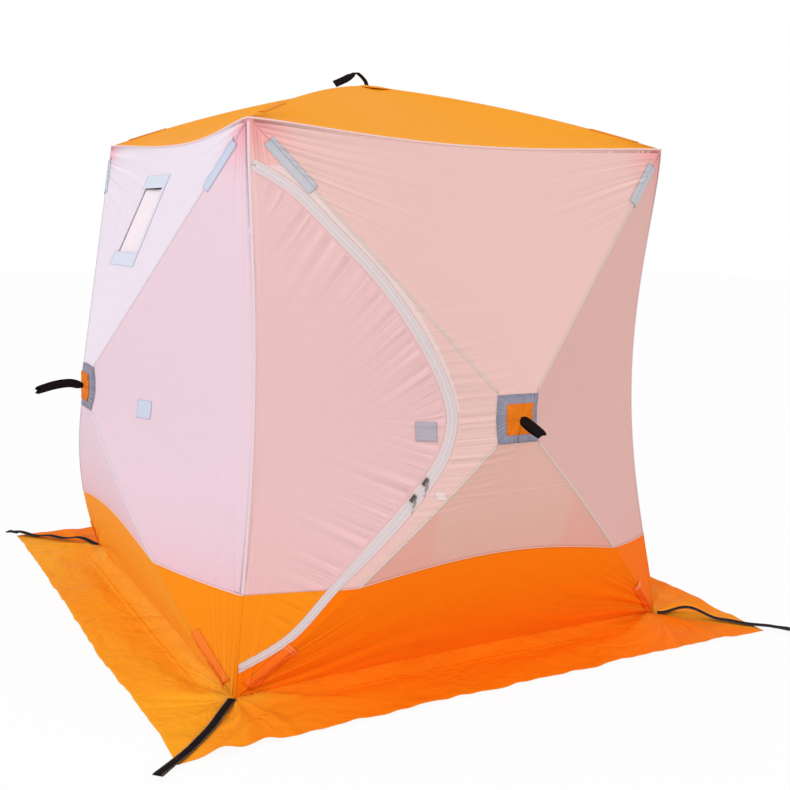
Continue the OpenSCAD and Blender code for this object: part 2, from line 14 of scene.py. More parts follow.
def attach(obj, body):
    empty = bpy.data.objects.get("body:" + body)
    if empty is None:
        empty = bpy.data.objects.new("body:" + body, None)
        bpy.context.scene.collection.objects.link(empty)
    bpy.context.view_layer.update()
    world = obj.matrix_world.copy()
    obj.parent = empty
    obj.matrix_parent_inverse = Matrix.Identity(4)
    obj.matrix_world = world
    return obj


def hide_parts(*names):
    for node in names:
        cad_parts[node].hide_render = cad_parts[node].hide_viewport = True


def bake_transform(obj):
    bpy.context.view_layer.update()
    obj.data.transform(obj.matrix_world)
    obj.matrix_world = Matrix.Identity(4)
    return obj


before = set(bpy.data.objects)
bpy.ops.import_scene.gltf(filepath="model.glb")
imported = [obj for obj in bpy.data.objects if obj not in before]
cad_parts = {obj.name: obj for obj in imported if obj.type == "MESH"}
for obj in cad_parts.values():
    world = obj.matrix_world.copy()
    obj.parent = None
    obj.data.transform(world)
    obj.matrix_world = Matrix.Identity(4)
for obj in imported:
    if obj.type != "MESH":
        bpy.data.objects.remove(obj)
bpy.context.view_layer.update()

LOG = logging.getLogger("shelter")
Array = np.ndarray
Rgb = tuple[int, int, int]
Piece = bpy.types.Object
Socket = bpy.types.NodeSocket
Value = Union[float, tuple, Socket]


def mix(a: Array, b: Array, k: Array) -> Array:
    """Value between a and b at share k."""
    return a + (b - a) * k


def smooth(k: Array) -> Array:
    """Smooth step of a share that is held between 0 and 1."""
    k = np.clip(k, 0, 1)
    return k * k * (3 - 2 * k)


def linear(rgb: Rgb) -> tuple[float, float, float, float]:
    """Scene colour of a screen colour given from 0 to 255."""
    part = [c / 255 for c in rgb]
    return tuple(c / 12.92 if c < 0.04045 else ((c + 0.055) / 1.055) ** 2.4 for c in part) + (1.0,)


def run_along(line: Array) -> Array:
    """Length of a line up to each of its points."""
    return np.concatenate([[0], np.cumsum(np.linalg.norm(np.diff(line, axis=0), axis=1))])


def curve_through(knots: Array, place: Array) -> Array:
    """Lay a smooth line through knots.

    Args:
        knots: the points that it passes.
        place: places along it, counted in knots from the first one.

    Returns:
        The line's points.
    """
    last = len(knots) - 1
    i = np.clip(np.floor(place).astype(int), 0, last - 1)
    f = (place - i)[..., None]
    a, b, c, d = (knots[np.clip(i + step, 0, last)] for step in (-1, 0, 1, 2))
    bend = 2 * a - 5 * b + 4 * c - d
    return (2 * b + (c - a) * f + bend * f ** 2 + (3 * b - a - 3 * c + d) * f ** 3) / 2


class Side(Enum):
    """The four walls, by their turn about the vertical from the front wall."""

    FRONT = 0
    RIGHT = 90
    BACK = 180
    LEFT = -90

    @property
    def front_or_back(self) -> bool:
        """Whether this is the front or the back wall."""
        return self in (Side.FRONT, Side.BACK)

    def turn(self, points: Array) -> Array:
        """Turn points of the front wall onto this wall.

        Args:
            points: places in the front wall's frame, along the last axis.

        Returns:
            The same places on this wall.
        """
        c, s = round(math.cos(math.radians(self.value))), round(math.sin(math.radians(self.value)))
        turned = points.copy()
        turned[..., 0] = c * points[..., 0] - s * points[..., 1]
        turned[..., 1] = s * points[..., 0] + c * points[..., 1]
        return turned


class Hold(Enum):
    """How a sheet of cloth is held."""

    STRETCHED = "stretched"
    HUNG = "hung"
    LAID = "laid"


class Gather(Enum):
    """Folds beside a panel's corner: reach along the edge, reach into the panel, lead, spacing, height.

    The lead is the distance beyond the corner at which the folds would meet.
    """

    EAVE = (0.20, 0.36, 0.40, 0.021, 0.0017)
    SEAM_TOP = (0.26, 0.075, 0.30, 0.012, 0.0010)
    SEAM_FOOT = (0.30, 0.12, 0.20, 0.014, 0.0014)
    HEM = (0.60, 0.30, 0.09, 0.019, 0.0034)


@dataclass(frozen=True)
class Shell:
    """The stretched form of one wall, seen from its front, and of the roof.

    Shares of a panel count from its hub to its edge. The runs are the ways from a hub to the edges.
    """

    base_half: float = 0.9
    top_half: float = 0.836
    corner_h: float = 1.85
    roof_z: float = 2.09
    hub_h: float = 0.916
    flat_y: float = -1.156
    hem_z: float = 0.0033
    corner_sag: float = 0.1
    eave_sag: float = 0.058
    eave_drop: float = 0.033
    band_h: float = 0.335
    band_rise: float = 0.1
    pole_bow: float = 0.045
    roof_bow: float = 0.025
    hub_share: float = 0.0376 / 0.836
    patch_share: float = 0.081 / 0.836
    panel_run: float = 1.25
    roof_run: float = 1.18
    roof_fold: float = 0.0026
    wave: float = 0.0026
    seed: float = 0.0
    # Rounds of the search for a place's panel, and step over which slopes are measured
    ROUNDS, STEP = 12, 0.004
    # Distance from a seam over which folds rise, broad folds' spacing to fine ones', and a corner's reach
    SOFT, BROAD, NEAR = 0.014, 2.7, 0.1

    @property
    def high(self) -> tuple[float, float]:
        """Half width and height at the end of an upper ridge."""
        return self.top_half, self.corner_h

    @property
    def low(self) -> tuple[float, float]:
        """Half width and height at the end of a lower ridge."""
        return self.base_half, self.hem_z

    @property
    def band_t(self) -> float:
        """Share of the corner seam at which the lower band ends."""
        return self.seam_t(self.band_h)

    @property
    def ridge_band(self) -> float:
        """Share of a lower ridge at which it meets the band."""
        return float(self.band_v(np.array(self.base_half), np.array(self.hem_z)))

    def dip(self, t: Array) -> Array:
        """Sag curve of a free edge, 0 at its ends and 1 in its middle."""
        return np.clip(4 * t * (1 - t), 0, None) ** 1.5

    def corner_half(self, t: Array) -> Array:
        """Half the width between two corner seams at a share of their height."""
        return mix(self.base_half, self.top_half, t) - self.corner_sag * self.dip(t) / math.sqrt(2)

    def seam_z(self, t: Array) -> Array:
        """Height of the corner seam at a share."""
        return mix(self.hem_z, self.corner_h, t)

    def seam_t(self, z: Array) -> Array:
        """Share of the corner seam at a height."""
        return (z - self.hem_z) / (self.corner_h - self.hem_z)

    def band_z(self, x: Array) -> Array:
        """Height of the seam over the lower band."""
        return self.band_h + self.band_rise * np.clip(1 - (x / self.base_half) ** 2, 0, None) ** 2

    def eave(self, t: Array) -> Array:
        """Points of the eave."""
        d = self.dip(t)
        return np.stack([(2 * t - 1) * self.top_half, self.eave_sag * d - self.top_half,
                         self.corner_h - self.eave_drop * d], -1)

    def seam(self, t: Array) -> Array:
        """Points of the corner seam at the wall's right end."""
        c = self.corner_half(t)
        return np.stack([c, -c, self.seam_z(t)], -1)

    def past_hub(self, v: Array) -> Array:
        """Share of a line from the hub's plate to an edge."""
        return np.clip((v - self.hub_share) / (1 - self.hub_share), 0, None)

    def band_v(self, edge_x: Array, edge_z: Array) -> Array:
        """Find where lines from the hub meet the lower band.

        Args:
            edge_x: x of the lines' ends.
            edge_z: heights of the lines' ends.

        Returns:
            Shares of the lines.
        """
        v = np.full_like(edge_x * edge_z, 0.6)
        for _ in range(self.ROUNDS):
            v = (self.hub_h - self.band_z(v * edge_x)) / (self.hub_h - edge_z)
        return v

    def locate(self, x: Array, z: Array) -> tuple[Array, Array, Array]:
        """Find the panel under places of the wall's elevation.

        Args:
            x: place across the wall.
            z: height.

        Returns:
            Panel (0 top, 1 side, 2 foot), share along its edge, and share from the hub to that edge.
        """
        across, up = np.maximum(np.abs(x), 1e-6), z - self.hub_h
        high, low = self.corner_h - self.hub_h, self.hub_h - self.hem_z
        ridge = np.where(up > 0, up / high * self.top_half, -up / low * self.base_half)
        t_side, t_top = np.full_like(across, 0.5), np.full_like(across, 0.5)
        tall = np.maximum(up, 1e-6)
        for _ in range(self.ROUNDS):
            t_side = np.clip(self.seam_t(self.hub_h + up / across * self.corner_half(t_side)), -0.1, 1.1)
            eave_up = high - self.eave_drop * self.dip(t_top)
            t_top = np.clip((1 + x / tall * eave_up / self.top_half) / 2, -0.1, 1.1)
        v_side = across / self.corner_half(t_side)
        v_top = up / (high - self.eave_drop * self.dip(t_top))
        v_foot = np.maximum(-up / low, 1e-6)
        t_foot = np.clip((1 + x / (v_foot * self.base_half)) / 2, -0.1, 1.1)
        panel = np.where(across > ridge, 1, np.where(up > 0, 0, 2))
        return panel, np.choose(panel, [t_top, t_side, t_foot]), np.choose(panel, [v_top, v_side, v_foot])

    def depth(self, x: Array, z: Array) -> Array:
        """Find the taut wall at places of its elevation.

        Args:
            x: place across the wall.
            z: height.

        Returns:
            Its y in the front wall's frame.
        """
        panel, t, v = self.locate(x, z)
        d = self.dip(t)
        edge = np.choose(panel, [self.eave_sag * d - self.top_half, -self.corner_half(t),
                                 np.full_like(t, -self.base_half)])
        bow = np.choose(panel, [np.zeros_like(t), np.clip(1 - 2 * t, 0, None) ** 2, np.ones_like(t)])
        q = self.past_hub(v)
        return mix(self.flat_y, edge, q) - self.pole_bow * bow * 4 * q * (1 - q)

    def gathers(self, x: Array, z: Array) -> tuple[Array, Array, Array, Array]:
        """Folds that the corners pull into the cloth.

        Args:
            x: place across the wall.
            z: height.

        Returns:
            Height of the broad folds, course and weight of the fine ones, and nearness to a corner.
        """
        panel, t, v = self.locate(x, z)
        along = np.choose(panel, [2 * self.top_half, self.corner_h, 2 * self.base_half])
        height, course, weight, near, other = (np.zeros_like(x) for _ in range(5))
        for end, flank in ((0, Gather.SEAM_FOOT), (1, Gather.SEAM_TOP)):
            kinds = zip(Gather.EAVE.value, flank.value, Gather.HEM.value)
            reach_p, reach_q, lead, spacing, rise = (np.choose(panel, kind) for kind in kinds)
            p = np.abs(end - t) * along * v
            q = np.clip(1 - v, 0, None) * self.panel_run
            phase = self.seed + 1.7 * panel + 2.9 * np.sign(x) + 4.1 * end
            way = q * lead / (p + lead) / spacing + 0.3 * np.sin(8 * p + 5 * q + phase)
            rise_in = smooth(q / self.SOFT) * smooth(p / self.SOFT)
            fade = np.exp(-p / reach_p - (q / reach_q) ** 2) * rise_in
            height += rise * np.sin(way * 2 * math.pi / self.BROAD + phase) * fade
            course = np.where(fade > weight, way + 13 * phase, course)
            weight, other = np.maximum(weight, fade), np.minimum(weight, fade)
            near = np.maximum(near, np.exp(-(np.hypot(p, q) / self.NEAR) ** 2))
        inside = np.clip(np.sin(math.pi * np.clip(t, 0, 1)), 0, 1) * np.clip(4 * v * (1 - v), 0, 1)
        height += self.wave * inside * np.sin(5.2 * x + 1.3 * self.seed) * np.sin(6.1 * z + 2 + self.seed)
        return height, course, weight - other, near

    def at(self, x: Array, z: Array, lift: Array = 0.0, folds: Optional[Callable] = None) -> Array:
        """Points of the cloth over places of the wall's elevation.

        Args:
            x: place across the wall.
            z: height.
            lift: distance off the cloth, outwards.
            folds: further height of the cloth at x and z.

        Returns:
            Points in the front wall's frame.
        """
        x, z = np.asarray(x, float), np.asarray(z, float)
        e = self.STEP
        slope_x = (self.depth(x + e, z) - self.depth(x - e, z)) / (2 * e)
        slope_z = (self.depth(x, z + e) - self.depth(x, z - e)) / (2 * e)
        rise = lift + self.gathers(x, z)[0]
        if folds is not None:
            rise = rise + folds(x, z)
        return np.stack([x, self.depth(x, z) - rise * np.sqrt(1 + slope_x ** 2 + slope_z ** 2), z], -1)

    def roof_corner(self, t: Array, v: Array) -> tuple[Array, Array]:
        """Distance of roof places from the nearer corner, and bearing, 0 at the eave and 1 at the ridge."""
        p = np.abs(np.round(t) - t) * 2 * self.top_half * v + 1e-6
        q = np.clip(1 - v, 0, None) * self.roof_run + 1e-6
        return np.hypot(p, q), np.arctan2(q, p) / (math.pi / 2)

    def roof_at(self, t: Array, v: Array, lift: Array = 0.0) -> Array:
        """Points of the roof's front panel.

        Args:
            t: shares along the eave.
            v: shares from the hub.
            lift: height over the cloth.

        Returns:
            The points.
        """
        e = self.eave(t)
        r, a = self.roof_corner(t, v)
        fold = self.roof_fold * np.sin(9 * a + self.seed) * np.sin(math.pi * a) * np.exp(-(r / 0.3) ** 2)
        share = self.past_hub(v)
        bow = self.roof_bow * (2 * t - 1) ** 2 * 4 * share * (1 - share)
        z = mix(self.roof_z, e[..., 2], share) + bow + lift + fold
        return np.stack([v * e[..., 0], v * e[..., 1], z], -1)


class ZipLine:
    """The zip's curve in the front wall's elevation, from its top end to its foot."""

    KNOTS_X = (-0.787, -0.650, -0.511, -0.394, -0.298, -0.247,
               -0.238, -0.278, -0.384, -0.522, -0.667, -0.820)
    KNOTS_Z = (0.8865, 0.819, 0.7465, 0.669, 0.589, 0.527,
               0.481, 0.4243, 0.354, 0.278, 0.2011, 0.1135)
    # Shares of the corner seam at the zip's ends, and the gap between its two edges
    TOP, FOOT, GAP = 0.928, 0.052, 0.005
    # Where the folds beside the zip end near the corner, and the height that they lie about
    SEWN_X, MIDDLE_Z = -0.86, 0.9

    def __init__(self, shell: Shell) -> None:
        """Lay the curve on a wall.

        Args:
            shell: the wall's form.
        """
        self.shell = shell
        ends = [(-shell.corner_half(t), shell.seam_z(t)) for t in (self.TOP, self.FOOT)]
        body = [(x * shell.base_half, z * shell.corner_h) for x, z in zip(self.KNOTS_X, self.KNOTS_Z)]
        self.knots = np.array([ends[0]] + body + [ends[1]], float)
        self.grid = np.linspace(0, 1, 1201)
        self.path = self.line(self.grid)
        self.run = run_along(self.path)
        over = self.path[:, 1] - shell.band_z(self.path[:, 0])
        self.band = self.grid[np.argmax((over < 0) & (self.grid > 0.6))]

    def line(self, s: Array) -> Array:
        """Places of the curve at shares of its length."""
        return curve_through(self.knots, np.asarray(s, float) * (len(self.knots) - 1))

    def offset(self, s: Array, side: Array) -> Array:
        """Find places beside the curve.

        Args:
            s: shares of the curve.
            side: distances, positive towards the hub.

        Returns:
            The places' x and height.
        """
        s = np.asarray(s, float)
        d = self.line(np.minimum(1, s + 4e-4)) - self.line(np.maximum(0, s - 4e-4))
        normal = np.stack([-d[..., 1], d[..., 0]], -1) / np.hypot(d[..., 0], d[..., 1])[..., None]
        return self.line(s) + normal * np.asarray(side)[..., None]

    def half_gap(self, s: Array) -> Array:
        """Half the gap between the two edges, which closes at the zip's ends."""
        return self.GAP / 2 * smooth((np.minimum(s, 1 - s) - 0.008) / 0.006)

    def nearest(self, x: Array, z: Array) -> tuple[Array, Array]:
        """Find how places lie from the curve.

        Args:
            x: place across the wall.
            z: height.

        Returns:
            Their distance, negative on the door's side, and the curve's length up to the nearest point.
        """
        gap = np.hypot(x[..., None] - self.path[:, 0], z[..., None] - self.path[:, 1])
        i = np.argmin(gap, -1)
        d = np.take_along_axis(gap, i[..., None], -1)[..., 0]
        j = np.clip(i, 1, len(self.path) - 2)
        way = self.path[j + 1] - self.path[j - 1]
        side = way[..., 0] * (z - self.path[j, 1]) - way[..., 1] * (x - self.path[j, 0])
        return np.where(side > 0, d, -d), self.run[i]

    def pucker(self, x: Array, z: Array) -> Array:
        """Work out the broad folds that the zip's sewing draws into the cloth.

        Args:
            x: place across the wall.
            z: height.

        Returns:
            Their height.
        """
        d, run = self.nearest(x, z)
        sway = 1.2 * np.sin(run * 9)
        door = 0.0016 * np.exp(d / 0.07) * np.sin(2 * math.pi * (run + 0.5 * d) / 0.052 + sway)
        wall = 0.0010 * np.exp(-d / 0.12) * np.sin(2 * math.pi * (z - 0.1 * x) / 0.037 + np.sin(11 * z))
        wall = wall * np.exp(-((z - self.MIDDLE_Z) / 0.34) ** 2)
        fade = smooth((np.abs(d) - 0.012) / 0.03)
        return np.where(d < 0, door, wall) * fade * smooth((x - self.SEWN_X) / 0.1)

    def drawn(self, x: Array, z: Array) -> tuple[Array, Array]:
        """Work out the fine folds beside the zip.

        Args:
            x: place across the wall.
            z: height.

        Returns:
            Their course and weight.
        """
        d, run = self.nearest(x, z)
        lean = run / 0.026 + 12 * d + 0.5 * np.sin(run * 7)
        level = (z - 0.12 * x) / 0.016 + 0.4 * np.sin(9 * z)
        door = 0.9 * np.exp(d / 0.085)
        wall = 0.8 * np.exp(-d / 0.17) * np.exp(-((z - self.MIDDLE_Z) / 0.3) ** 2)
        inside = smooth((x - self.SEWN_X) / 0.12) * (x < 0) * smooth((np.abs(d) - 0.014) / 0.02)
        return np.where(d < 0, lean, level) + 40, np.where(d < 0, door, wall) * inside


class Bench:
    """Shop tools that make, thicken and join meshes."""

    # Thickness of cloth, and distance under which points are one
    CLOTH, WELD = 0.0012, 2e-5

    @staticmethod
    def clear() -> None:
        """Leave edit mode and select nothing."""
        if bpy.context.object and bpy.context.object.mode != "OBJECT":
            bpy.ops.object.mode_set(mode="OBJECT")
        bpy.ops.object.select_all(action="DESELECT")

    @classmethod
    def pick(cls, piece: Piece) -> None:
        """Select one piece and make it active."""
        cls.clear()
        piece.select_set(True)
        bpy.context.view_layer.objects.active = piece

    @classmethod
    @contextmanager
    def editing(cls, piece: Piece, whole: bool = True) -> Iterator[None]:
        """Keep a piece in edit mode.

        Args:
            piece: the piece.
            whole: whether all of its mesh is selected.

        Yields:
            Nothing, while the piece is in edit mode.
        """
        cls.pick(piece)
        bpy.ops.object.mode_set(mode="EDIT")
        if whole:
            bpy.ops.mesh.select_all(action="SELECT")
        yield
        bpy.ops.object.mode_set(mode="OBJECT")

    @classmethod
    def apply(cls, piece: Piece, kind: str, **values: object) -> None:
        """Add a modifier to a piece and apply it.

        Args:
            piece: the piece.
            kind: the modifier's type.
            values: its settings.
        """
        cls.pick(piece)
        modifier = piece.modifiers.new(kind.title(), kind)
        for name, value in values.items():
            setattr(modifier, name, value)
        bpy.ops.object.modifier_apply(modifier=modifier.name)

    @classmethod
    def sheet(cls, name: str, points: Array, uv: Array, outward: Sequence[float], thick: float = CLOTH,
              marks: Optional[dict[str, Array]] = None, cut: Optional[Callable] = None) -> Piece:
        """Lay a sheet of cloth over a grid of points.

        Args:
            name: the piece's name.
            points: rows of points.
            uv: the points' places on the flat cloth, in metres.
            outward: direction of the cloth's outer face.
            thick: thickness, laid on outside the points.
            marks: values at the points, by attribute name.
            cut: change to the flat grid before it gets its thickness.

        Returns:
            The new piece.
        """
        rows, columns = points.shape[:2]
        cls.clear()
        bpy.ops.mesh.primitive_grid_add(x_subdivisions=rows - 1, y_subdivisions=columns - 1, size=1)
        piece = bpy.context.object
        piece.name = piece.data.name = name
        mesh = piece.data
        place = np.zeros(len(mesh.vertices) * 3)
        mesh.vertices.foreach_get("co", place)
        place = place.reshape(-1, 3)
        i = np.rint((place[:, 0] + 0.5) * (rows - 1)).astype(int)
        j = np.rint((place[:, 1] + 0.5) * (columns - 1)).astype(int)
        mesh.vertices.foreach_set("co", points[i, j].astype(np.float32).ravel())
        corner = np.zeros(len(mesh.loops), int)
        mesh.loops.foreach_get("vertex_index", corner)
        mesh.uv_layers[0].data.foreach_set("uv", uv[i, j][corner].astype(np.float32).ravel())
        for mark, value in (marks or {}).items():
            layer = mesh.attributes.new(mark, "FLOAT", "POINT")
            layer.data.foreach_set("value", value[i, j].astype(np.float32))
        mesh.update()
        facing = sum((Vector(p.normal) * p.area for p in mesh.polygons), Vector()).dot(Vector(outward))
        if facing < 0:
            mesh.flip_normals()
        with cls.editing(piece):
            bpy.ops.mesh.remove_doubles(threshold=cls.WELD)
        if cut is not None:
            cut(piece)
        if thick > 0:
            cls.apply(piece, "SOLIDIFY", thickness=thick, offset=1.0)
        bpy.ops.object.shade_smooth()
        return piece

    @classmethod
    def join(cls, name: str, pieces: Sequence[Piece]) -> Piece:
        """Join pieces into one mesh.

        Args:
            name: the new piece's name.
            pieces: what is joined.

        Returns:
            The new piece.
        """
        cls.clear()
        for piece in pieces:
            piece.select_set(True)
        bpy.context.view_layer.objects.active = pieces[0]
        if len(pieces) > 1:
            bpy.ops.object.join()
        joined = bpy.context.object
        joined.name = joined.data.name = name
        return joined

    @classmethod
    def ribbon(cls, name: str, line: Array, across: Array, width: Array, thick: float) -> Piece:
        """Lay a flat ribbon along a line.

        Args:
            name: the piece's name.
            line: its middle, point by point.
            across: direction of its width at each point.
            width: its width, at each point or all along.
            thick: its thickness.

        Returns:
            The ribbon.
        """
        way = np.gradient(line, axis=0)
        across = across - way * (np.sum(across * way, 1) / np.sum(way * way, 1))[:, None]
        across = across / np.linalg.norm(across, axis=1)[:, None]
        normal = np.cross(way, across)
        normal = normal / np.linalg.norm(normal, axis=1)[:, None]
        k = np.linspace(-0.5, 0.5, 5)
        wide = np.broadcast_to(np.asarray(width, float), (len(line),))
        points = line[:, None] + across[:, None] * (k[None, :, None] * wide[:, None, None])
        uv = np.stack(np.broadcast_arrays(k[None] * wide[:, None], run_along(line)[:, None]), -1)
        return cls.sheet(name, points, uv, normal.mean(0), thick)

    @classmethod
    def tube(cls, name: str, lines: Sequence[Array], radius: float, sides: int = 8) -> Piece:
        """Lay round piping along lines.

        Args:
            name: the piece's name.
            lines: the middles of its lengths.
            radius: half its thickness.
            sides: faces round it.

        Returns:
            The piping as one mesh.
        """
        parts = []
        for line in lines:
            way = np.gradient(line, axis=0)
            way = way / np.linalg.norm(way, axis=1)[:, None]
            aside = np.cross(way, (0.3, 0.2, 0.93))
            aside = aside / np.linalg.norm(aside, axis=1)[:, None]
            third = np.cross(way, aside)
            a = np.linspace(0, 2 * math.pi, sides + 1)
            ring = aside[:, None] * np.cos(a)[None, :, None] + third[:, None] * np.sin(a)[None, :, None]
            points = line[:, None] + radius * ring
            points = np.concatenate([line[None, :1].repeat(sides + 1, 1), points,
                                     line[None, -1:].repeat(sides + 1, 1)])
            run = run_along(line)
            run = np.concatenate([[0], run, run[-1:]])
            uv = np.stack(np.broadcast_arrays((a * radius)[None], run[:, None]), -1)
            part = cls.sheet(name, points, uv, (0, 0, 1), 0.0)
            with cls.editing(part):
                bpy.ops.mesh.normals_make_consistent(inside=False)
            parts.append(part)
        return cls.join(name, parts)


class Nodes:
    """Adds and links the nodes of one tree."""

    def __init__(self, tree: bpy.types.NodeTree) -> None:
        """Start on a tree."""
        self.tree = tree

    @classmethod
    def material(cls, name: str) -> tuple[bpy.types.Material, "Nodes", bpy.types.Node]:
        """Start a material, with its nodes and its shader."""
        material = bpy.data.materials.new(name)
        material.use_nodes = True
        return material, cls(material.node_tree), material.node_tree.nodes["Principled BSDF"]

    def put(self, socket: Socket, value: Value) -> None:
        """Set a socket, or link another node's output to it.

        Args:
            socket: the socket.
            value: its value, or the output that feeds it.
        """
        if isinstance(value, Socket):
            self.tree.links.new(value, socket)
        else:
            socket.default_value = value

    def add(self, kind: str, inputs: Optional[dict] = None, **settings: object) -> bpy.types.Node:
        """Add a node.

        Args:
            kind: its type.
            inputs: values or links by socket name or number.
            settings: its properties.

        Returns:
            The node.
        """
        node = self.tree.nodes.new(kind)
        for name, value in settings.items():
            setattr(node, name, value)
        for name, value in (inputs or {}).items():
            self.put(node.inputs[name], value)
        return node

    def math(self, operation: str, a: Value, b: Value = 0.0, c: Value = 0.0, clamp: bool = False) -> Socket:
        """Result of one sum of up to three values."""
        values = {0: a, 1: b, 2: c}
        return self.add("ShaderNodeMath", values, operation=operation, use_clamp=clamp).outputs[0]

    def blend(self, share: Value, a: Value, b: Value) -> Socket:
        """Colour between a and b at a share."""
        return self.add("ShaderNodeMix", {0: share, 6: a, 7: b}, data_type="RGBA").outputs[2]

    def noise(self, vector: Value, scale: float, detail: float = 2.0, rough: float = 0.5) -> Socket:
        """Noise over a place, from 0 to 1."""
        values = {"Vector": vector, "Scale": scale, "Detail": detail, "Roughness": rough}
        return self.add("ShaderNodeTexNoise", values).outputs[0]

    def group(self, name: str, **inputs: Value) -> bpy.types.Node:
        """Node of a group, with values or links on its inputs."""
        return self.add("ShaderNodeGroup", inputs, node_tree=bpy.data.node_groups[name])

    def uneven(self, shader: bpy.types.Node, height: Value) -> None:
        """Give a shader a relief whose height is in metres."""
        bump = self.add("ShaderNodeBump", {"Strength": 1.0, "Distance": 1.0, "Height": height})
        self.put(shader.inputs["Normal"], bump.outputs[0])


class Effects:
    """Node groups that several finishes share."""

    @staticmethod
    def begin(name: str, inputs: Sequence[str],
              outputs: Sequence[str]) -> tuple[Nodes, dict, bpy.types.Node]:
        """Start a node group.

        Args:
            name: its name.
            inputs: its inputs, all numbers except Vector.
            outputs: its outputs, all numbers.

        Returns:
            Its nodes, its input sockets by name, and its output node.
        """
        tree = bpy.data.node_groups.new(name, "ShaderNodeTree")
        for key in inputs:
            kind = "NodeSocketVector" if key == "Vector" else "NodeSocketFloat"
            tree.interface.new_socket(key, in_out="INPUT", socket_type=kind)
        for key in outputs:
            tree.interface.new_socket(key, in_out="OUTPUT", socket_type="NodeSocketFloat")
        nodes = Nodes(tree)
        start = nodes.add("NodeGroupInput")
        return nodes, {key: start.outputs[key] for key in inputs}, nodes.add("NodeGroupOutput")

    @classmethod
    def weave(cls) -> None:
        """Plain weave: threads that pass over and under each other."""
        nodes, given, end = cls.begin("weave", ("Vector", "Threads"), ("Height",))
        place = nodes.add("ShaderNodeSeparateXYZ", {0: given["Vector"]})
        over, under = (nodes.math("SINE", nodes.math("MULTIPLY", place.outputs[i], given["Threads"]))
                       for i in (0, 1))
        nodes.put(end.inputs[0], nodes.math("MULTIPLY", over, under))

    @classmethod
    def crumple(cls) -> None:
        """Small soft creases left by folding the cloth."""
        nodes, given, end = cls.begin("crumple", ("Vector", "Scale"), ("Height",))
        sized = {0: given["Vector"], 3: given["Scale"]}
        place = nodes.add("ShaderNodeVectorMath", sized, operation="SCALE").outputs[0]
        bent = nodes.add("ShaderNodeTexNoise", {"Vector": place, "Scale": 0.6, "Detail": 1.0}).outputs[1]
        moved = nodes.add("ShaderNodeVectorMath", {0: place, 1: bent}, operation="ADD").outputs[0]
        ridge = nodes.math("ABSOLUTE", nodes.math("SUBTRACT", nodes.noise(moved, 1.0, 3.0, 0.55), 0.5))
        nodes.put(end.inputs[0], nodes.math("MULTIPLY", ridge, 2.0))

    @classmethod
    def folds(cls) -> None:
        """Fine folds along the course that the cloth's points carry, and their painted shade: darker in the
        valleys, a little lighter on the crests.
        """
        nodes, _, end = cls.begin("folds", (), ("Height", "Shade"))
        course = nodes.add("ShaderNodeAttribute", attribute_name="course").outputs["Fac"]
        weight = nodes.add("ShaderNodeAttribute", attribute_name="weight").outputs["Fac"]
        values = {"W": course, "Scale": 1.0, "Detail": 2.0, "Roughness": 0.6}
        noise = nodes.add("ShaderNodeTexNoise", values, noise_dimensions="1D").outputs[0]
        height = nodes.math("MULTIPLY", nodes.math("SUBTRACT", noise, 0.5), weight)
        nodes.put(end.inputs[0], height)
        nodes.put(end.inputs[1], nodes.math("MULTIPLY", nodes.math("MINIMUM", height, 0.12), 2.0))

    @classmethod
    def stain(cls) -> None:
        """Uneven tone of cloth that light comes through, from -1 to 1."""
        nodes, given, end = cls.begin("stain", ("Vector",), ("Tone",))
        broad = nodes.noise(given["Vector"], 2.2, 2.0)
        small = nodes.noise(given["Vector"], 17.0, 3.0, 0.6)
        total = nodes.math("ADD", nodes.math("MULTIPLY", broad, 1.3), nodes.math("MULTIPLY", small, 0.7))
        nodes.put(end.inputs[0], nodes.math("SUBTRACT", total, 1.0))

    @classmethod
    def make(cls) -> None:
        """Build every group once."""
        for build in (cls.weave, cls.crumple, cls.folds, cls.stain):
            build()


